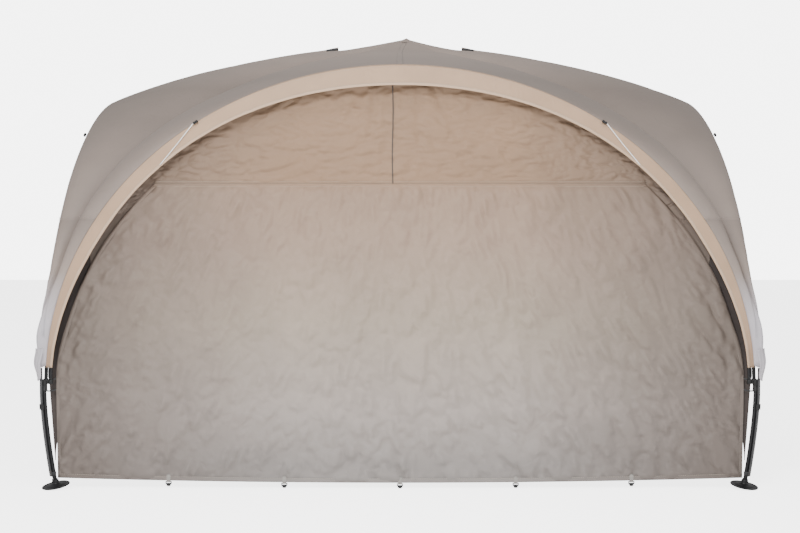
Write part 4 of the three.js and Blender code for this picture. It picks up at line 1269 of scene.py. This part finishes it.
class SHELTER_OT_legs(bpy.types.Operator):
    """Builds the legs, foot plates and corner hubs"""
    bl_idname = "shelter.legs"
    bl_label = "Legs and feet"

    def execute(self, context):
        for turns, corner in enumerate(CORNERS):
            self.leg(turns, corner)
            self.foot(turns, corner)
            self.hub(turns, corner)
        return {"FINISHED"}

    def leg(self, turns, corner):
        z = np.concatenate([[LEG_BOTTOM, LEG_BOTTOM + 0.002],
                            np.linspace(LEG_BOTTOM + 0.004, HUB_Z - 0.016, 40)])
        line = leg_at(z)
        radii = np.full(len(z), LEG_RADIUS)
        radii[0] -= 0.0012
        tube = swept(f"leg_tube_{corner}", turned(line, turns), radii, 32)
        parts = [tube]
        for height in (0.115, 0.455):
            at = leg_at(np.array([height]))[0]
            out = Vector(SIDEWAYS)
            base = Vector((at[0], at[1], height)) + out * (LEG_RADIUS - 0.0012)
            knob = [(0, 0), (0.0042, 0), (0.0042, 0.0016), (0.0036, 0.0026), (0.0022, 0.0034), (0, 0.0036)]
            parts.append(lathed("spring_button", knob, turned_vector(base, turns),
                                turned_vector(out, turns), 20))
        leg = soften(joined(f"leg_tube_{corner}", parts), 45)
        dress(leg, "steel", "frame", [f"leg_{corner}"])

    def foot(self, turns, corner):
        bottom = leg_at(np.array([0.05]))[0]
        tilt = math.acos(FOOT_AXIS.z)
        stem = (0.05 - FOOT_RADIUS * math.sin(tilt)) / FOOT_AXIS.z
        base = Vector((bottom[0], bottom[1], 0.05)) - FOOT_AXIS * stem
        disc = [(0, 0.0), (0.0665, 0.0), (0.0688, 0.0006), (0.0699, 0.0022), (0.0699, 0.0042),
                (0.0688, 0.0056), (0.0665, 0.0062), (0.060, 0.0064), (0.058, 0.0052), (0.050, 0.0056),
                (0.048, 0.0072), (0.030, 0.0088), (0.0185, 0.0135), (0.0158, 0.0165), (0.0152, 0.020)]
        neck = [(0.0152, stem - 0.004), (0.0142, stem - 0.0012), (0.0095, stem - 0.0004), (0.0082, stem),
                (0.0082, stem + 0.02), (0.0, stem + 0.02)]
        plate = lathed(f"foot_{corner}", disc + neck, turned_vector(base, turns),
                       turned_vector(FOOT_AXIS, turns), 64)
        side = FOOT_AXIS.cross(Vector((1, 1, 0))).normalized()
        pin_at = base + FOOT_AXIS * (stem * 0.66)
        pin = [(0, -0.019), (0.0032, -0.019), (0.0036, -0.018), (0.0036, -0.0165), (0.0026, -0.016)]
        pin += [(radius, -height) for radius, height in reversed(pin)]
        peg = lathed("foot_pin", pin, turned_vector(pin_at, turns), turned_vector(side, turns), 20)
        foot = soften(joined(f"foot_{corner}", [plate, peg]), 45)
        dress(foot, "steel", f"foot_plate_{corner}", [f"foot_plate_{corner}"])

    def hub(self, turns, corner):
        top = HUB_Z - 0.001
        up = (0, 0, 1)
        collar = [(0, top - 0.061), (0.0145, top - 0.061), (0.0155, top - 0.0595), (0.0155, top - 0.05),
                  (0.0148, top - 0.049), (0.0148, top - 0.028), (0.0155, top - 0.027), (0.0155, top - 0.0015),
                  (0.014, top), (0, top)]
        cup = [(0, top - 0.024), (0.0115, top - 0.024), (0.0125, top - 0.0228), (0.0125, top - 0.0014),
               (0.0112, top), (0, top)]
        parts = [lathed("collar", collar, turned((HUB, -HUB, 0), turns), up, 40)]
        for x, y in ((POLE_REACH, -HUB), (HUB, -POLE_REACH)):
            parts.append(lathed("cup", cup, turned((x, y, 0), turns), up, 36))
        web = (HUB - POLE_REACH, 0.0128, 0.0232)
        for along, centre in (((1, 0, 0), (HUB - web[0] / 2, -HUB, top - 0.012)),
                              ((0, 1, 0), (HUB, -HUB + web[0] / 2, top - 0.012))):
            a, b = turned_vector(along, turns), turned_vector((-along[1], along[0], 0), turns)
            parts.append(block("web", web, basis_of(a, b, up), turned(centre, turns), 0.0018))
        out = Vector(OUTWARD)
        for height in (top - 0.012, top - 0.052):
            base = Vector((HUB, -HUB, height)) + out * 0.0145
            head = [(0, 0), (0.0045, 0), (0.0045, 0.0022), (0.0038, 0.0032), (0.0, 0.0036)]
            parts.append(lathed("screw", head, turned_vector(base, turns), turned_vector(out, turns), 16))
        hub = soften(joined(f"hub_block_{corner}", parts), 40)
        dress(hub, "plastic", "frame", [f"hub_{corner}"])


class SHELTER_OT_poles(bpy.types.Operator):
    """Builds the arch poles, ridge poles, apex tees, crown hub and the wraps that tie cloth to pole"""
    bl_idname = "shelter.poles"
    bl_label = "Poles"

    def execute(self, context):
        for turns, side in enumerate(SIDES):
            self.arch(turns, side)
            self.ridge(turns, side)
            self.tee(turns, side)
        self.crown()
        return {"FINISHED"}

    def arch(self, turns, side):
        angles = np.linspace(-math.pi / 2, math.pi / 2, 181)
        line = pole_at(angles)
        run = run_along(line)
        parts = [swept("pole", turned(line, turns), POLE_RADIUS - 0.0003, 24)]
        for share in (0.2, 0.4, 0.6, 0.8):
            near = np.abs(run - share * run[-1]) < 0.055
            ferrule = line[near]
            radii = np.full(len(ferrule), POLE_RADIUS + 0.0009)
            radii[0] = radii[-1] = POLE_RADIUS
            parts.append(swept("ferrule", turned(ferrule, turns), radii, 24))
        pole = soften(joined(f"arch_tube_{side}", parts), 40)
        dress(pole, "steel", "frame", [f"arch_pole_{side}"])
        wraps = []
        for angle in np.radians([-66, -50, -28, -14, 14, 28, 50, 66]):
            if side == "front" and abs(angle) < 0.2:
                continue
            near = pole_at(np.array([angle - 0.012, angle, angle + 0.012]))
            wraps.append(swept("wrap", turned(near, turns), POLE_RADIUS + 0.0018, 20))
        ties = soften(joined(f"pole_wraps_{side}", wraps), 40)
        dress(ties, "webbing", "frame")

    def ridge_line(self, turns, start, end, count):
        distance = np.linspace(start, end, count)
        power = 1 if turns % 2 == 0 else 2
        share = distance / RIDGE_REACH
        z = CROWN_Z - (CROWN_Z - (HUB_Z + SEAM_RISE)) * share ** power - (FABRIC + RIDGE_RADIUS + 0.004)
        return turned(np.stack([0 * distance, -distance, z], -1), turns)

    def ridge(self, turns, side):
        line = self.ridge_line(turns, HUB - ARCH_LEAN - 0.031, 0.048, 90)
        parts = [swept("pole", line, RIDGE_RADIUS - 0.0002, 24)]
        for centre in (0.6, 1.15):
            line = self.ridge_line(turns, centre - 0.05, centre + 0.05, 6)
            parts.append(swept("ferrule", line, RIDGE_RADIUS + 0.0009, 24))
        pole = soften(joined(f"ridge_tube_{side}", parts), 40)
        dress(pole, "steel", "frame", [f"ridge_pole_{side}"])

    def tee(self, turns, side):
        line = turned(pole_at(np.linspace(-0.021, 0.021, 9)), turns)
        radii = np.array([0.0118, 0.0128, 0.0124, 0.0122, 0.0122, 0.0122, 0.0124, 0.0128, 0.0118])
        collar = swept("collar", line, radii, 32)
        outer = HUB - ARCH_LEAN
        boss_line = self.ridge_line(turns, outer - 0.005, outer - 0.031, 5)
        boss = swept("boss", boss_line, np.array([0.0092, 0.0092, 0.0088, 0.0088, 0.0082]), 28)
        screw_profile = [(0, 0), (0.004, 0), (0.004, 0.0018), (0.003, 0.0026), (0, 0.003)]
        at = line[2] - np.array([0, 0, 0.0118])
        screw = lathed("screw", screw_profile, at, (0, 0, -1), 16)
        tee = soften(joined(f"tee_{side}", [collar, boss, screw]), 40)
        dress(tee, "plastic", "frame", [f"apex_tee_{side}"])

    def crown(self):
        base = CROWN_Z - (FABRIC + RIDGE_RADIUS + 0.004)
        tip = CROWN_Z + TIP_RISE
        profile = [(r, base + h) for r, h in (
            (0, -0.026), (0.030, -0.026), (0.036, -0.0255), (0.042, -0.021), (0.044, -0.017), (0.044, 0.006),
            (0.042, 0.010), (0.036, 0.013), (0.020, 0.0145), (0.0095, 0.018), (0.007, 0.026))]
        profile += [(r, tip - h) for r, h in ((0.007, 0.022), (0.006, 0.019), (0.003, 0.0175), (0, 0.017))]
        parts = [lathed("hub", profile, (0, 0, 0), (0, 0, 1), 64)]
        for turns in range(4):
            arm = self.ridge_line(turns, 0.040, 0.0465, 3)
            parts.append(swept("arm", arm, np.array([0.0105, 0.0105, 0.0095]), 28))
            spot = turned((0.031, -0.031, 0), turns)
            bolt = [(r, base + h) for r, h in ((0, -0.0285), (0.0042, -0.0285), (0.0046, -0.0275),
                                               (0.0046, -0.024), (0, -0.024))]
            parts.append(lathed("bolt", bolt, spot, (0, 0, 1), 16))
        hub = soften(joined("crown_block", parts), 40)
        dress(hub, "plastic", "frame", ["crown_hub"])


class SHELTER_OT_straps(bpy.types.Operator):
    """Builds the corner straps with their ladder-lock buckles, and the short ties from hub to wall"""
    bl_idname = "shelter.straps"
    bl_label = "Corner straps"

    def strap_at(self, z, out=STRAP_OUT):
        clipped = np.clip(z, 0.05, HUB_Z - 0.013)
        p = np.column_stack([leg_at(clipped)[:, :2], z])
        return p + OUTWARD * np.asarray(out)[..., None]

    def execute(self, context):
        sizes = context.scene.shelter_sizes
        for turns, corner in enumerate(CORNERS):
            z = np.linspace(0.064, HUB_Z + 0.058, 90)
            line = turned(self.strap_at(z), turns)
            strap = tape(f"strap_{corner}", line, turned(SIDEWAYS, turns), sizes.webbing, 0.0015,
                         turned(OUTWARD, turns))
            box_marks = []
            for low in (0.070, HUB_Z + 0.018):
                corners = [(-0.009, low), (0.009, low), (0.009, low + 0.024), (-0.009, low + 0.024),
                           (-0.009, low), (0.009, low + 0.024)]
                marks = [self.strap_at(np.array([h]), 0.0203)[0] + SIDEWAYS * a for a, h in corners]
                box_marks.append(turned(np.array(marks), turns))
            dress(strap, "webbing", "frame", [f"corner_strap_{corner}"])
            sew(f"strap_stitches_{corner}", box_marks, 0.005, "thread_dark", "frame", 0.0006)
            self.buckle(turns, corner)
            self.foot_loop(turns, corner)
            if corner.startswith("front"):
                self.wall_ties(corner)
        return {"FINISHED"}

    def buckle(self, turns, corner):
        """A ladder lock: two side rails and six cross bars, four on the outer face and two behind"""
        low, centre, high = self.strap_at(BUCKLE_Z + np.array([-0.005, 0, 0.005]))
        run = (high - low) / np.linalg.norm(high - low)
        face = np.cross(run, SIDEWAYS)
        face *= np.sign(np.dot(face, OUTWARD))
        a, f, r = (turned(v, turns) for v in (SIDEWAYS, face, run))
        basis = basis_of(a, f, r)
        parts = []
        for side in (-1, 1):
            at = centre + SIDEWAYS * side * 0.0151
            parts.append(block("rail", (0.0036, 0.0076, 0.028), basis, turned(at, turns), 0.0012))
        for along, lift in ((-0.0125, 0.0026), (-0.004, 0.0026), (0.0045, 0.0026), (0.0125, 0.0026),
                            (-0.0125, -0.0026), (0.0125, -0.0026)):
            at = centre + run * along + face * lift
            parts.append(block("bar", (0.0315, 0.0022, 0.0034), basis, turned(at, turns), 0.0008))
        lock = soften(joined(f"buckle_{corner}", parts), 40)
        dress(lock, "plastic", f"strap_buckle_{corner}", [f"strap_buckle_{corner}"])

    def foot_loop(self, turns, corner):
        """Webbing loop that ties the strap's lower end round the leg"""
        angle = np.linspace(0, FULL_TURN, 41)
        centre = leg_at(np.array([LOOP_Z]))[0]
        ring = np.stack([np.cos(angle), np.sin(angle)], -1)
        out = ring @ OUTWARD[:2]
        radius = LEG_RADIUS + 0.0016 + 0.0055 * np.clip(out, 0, 1) ** 3
        line = np.column_stack([centre[:2] + ring * radius[:, None], np.full(len(angle), LOOP_Z)])
        band = tape(f"foot_loop_{corner}", turned(line, turns), (0, 0, 1), 0.018, 0.001,
                    turned(OUTWARD, turns))
        outward_faces(band)
        dress(band, "webbing", "frame")

    def wall_ties(self, corner):
        """Short webbing ties from the hub to the wall's edge"""
        sign = 1 if corner.endswith("right") else -1
        for index, height in enumerate((HUB_Z - 0.002, HUB_Z - 0.058)):
            x = np.linspace(HUB - 0.012, FOOT - 0.007, 20)
            y = mix(-HUB - 0.0165, float(wall_y(height)) - 0.008, np.linspace(0, 1, 20) ** 0.8)
            line = np.stack([sign * x, y, height - 0.004 * np.sin(np.linspace(0, math.pi, 20))], -1)
            tie = tape(f"wall_tie_{corner}_{index + 1}", line, (0, 0, 1), 0.007, 0.0012, (0, -1, 0))
            dress(tie, "webbing", "frame")


class SHELTER_OT_stage(bpy.types.Operator):
    """Sets the pale floor, the soft lights and the camera"""
    bl_idname = "shelter.stage"
    bl_label = "Stage"

    def execute(self, context):
        floor = add_mesh("floor", [(-40, -40, 0), (40, -40, 0), (40, 40, 0), (-40, 40, 0)], [(0, 1, 2, 3)])
        material, tree, surface = shader("floor_white", 0.9)
        surface.inputs["Base Color"].default_value = (0.93, 0.93, 0.93, 1)
        seen = node(tree, "ShaderNodeLightPath").outputs["Is Camera Ray"]
        glow = node(tree, "ShaderNodeMapRange", {"in_4": 3.5}, i_0=seen).outputs[0]
        surface.inputs["Emission Color"].default_value = (1.0, 1.0, 1.0, 1)
        tree.links.new(glow, surface.inputs["Emission Strength"])
        floor.data.materials.append(material)
        world = bpy.data.worlds.new("studio")
        context.scene.world = world
        world.use_nodes = True
        tree = world.node_tree
        seen = node(tree, "ShaderNodeLightPath").outputs["Is Camera Ray"]
        level = node(tree, "ShaderNodeMapRange", {"in_3": 0.62, "in_4": 6.0}, i_0=seen).outputs[0]
        tree.links.new(level, tree.nodes["Background"].inputs["Strength"])
        tree.nodes["Background"].inputs["Color"].default_value = (1.0, 1.0, 1.0, 1)
        for name, place, aim, size, power in (("front", (-1.2, -7.0, 4.6), (0, 0, 0.9), 1.6, 330),
                                              ("left", (-7.5, -4.5, 1.4), (-1.6, -1.2, 0.9), 3.0, 135),
                                              ("right", (7.5, -4.5, 1.4), (1.6, -1.2, 0.9), 3.0, 150),
                                              ("top", (0.0, -4.5, 6.5), (0, -0.9, 2.3), 2.0, 110),
                                              ("low", (0.0, -4.6, 0.5), (0, -1.7, 0.7), 1.2, 34)):
            light = bpy.data.lights.new(name, "AREA")
            light.size, light.energy = size, power
            lamp = bpy.data.objects.new(name, light)
            lamp.location = place
            lamp.rotation_euler = (Vector(aim) - Vector(place)).to_track_quat("-Z", "Y").to_euler()
            context.scene.collection.objects.link(lamp)
        camera = bpy.data.cameras.new("camera")
        camera.lens, camera.sensor_width = 58.3, 36
        eye = bpy.data.objects.new("camera", camera)
        eye.location = (0, -8.3, 1.224)
        eye.rotation_euler = (math.radians(90 - 0.86), 0, 0)
        context.scene.collection.objects.link(eye)
        context.scene.camera = eye
        return {"FINISHED"}


class SHELTER_PT_panel(bpy.types.Panel):
    """Lists the shelter's sizes, colours and pieces"""
    bl_idname = "SHELTER_PT_panel"
    bl_label = "Tarp shelter"
    bl_space_type = "VIEW_3D"
    bl_region_type = "UI"
    bl_category = "Shelter"

    def draw(self, context):
        for group in (context.scene.shelter_sizes, context.scene.shelter_colours):
            for key in group.__annotations__:
                self.layout.prop(group, key)
        for operator in OPERATORS:
            self.layout.operator(operator.bl_idname)


OPERATORS = (SHELTER_OT_stage, SHELTER_OT_cords, SHELTER_OT_canopy, SHELTER_OT_valances,
             SHELTER_OT_front_wall, SHELTER_OT_hem_hooks, SHELTER_OT_legs, SHELTER_OT_poles,
             SHELTER_OT_straps)
CLASSES = (ShelterSizes, ShelterColours, *OPERATORS, SHELTER_PT_panel)


def register():
    for cls in CLASSES:
        bpy.utils.register_class(cls)
    bpy.types.Scene.shelter_sizes = PointerProperty(type=ShelterSizes)
    bpy.types.Scene.shelter_colours = PointerProperty(type=ShelterColours)


def unregister():
    del bpy.types.Scene.shelter_colours
    del bpy.types.Scene.shelter_sizes
    for cls in reversed(CLASSES):
        bpy.utils.unregister_class(cls)


def main():
    register()
    make_materials(bpy.context.scene.shelter_colours)
    for operator in OPERATORS:
        group, name = operator.bl_idname.split(".")
        getattr(getattr(bpy.ops, group), name)()


if __name__ == "__main__":
    main()
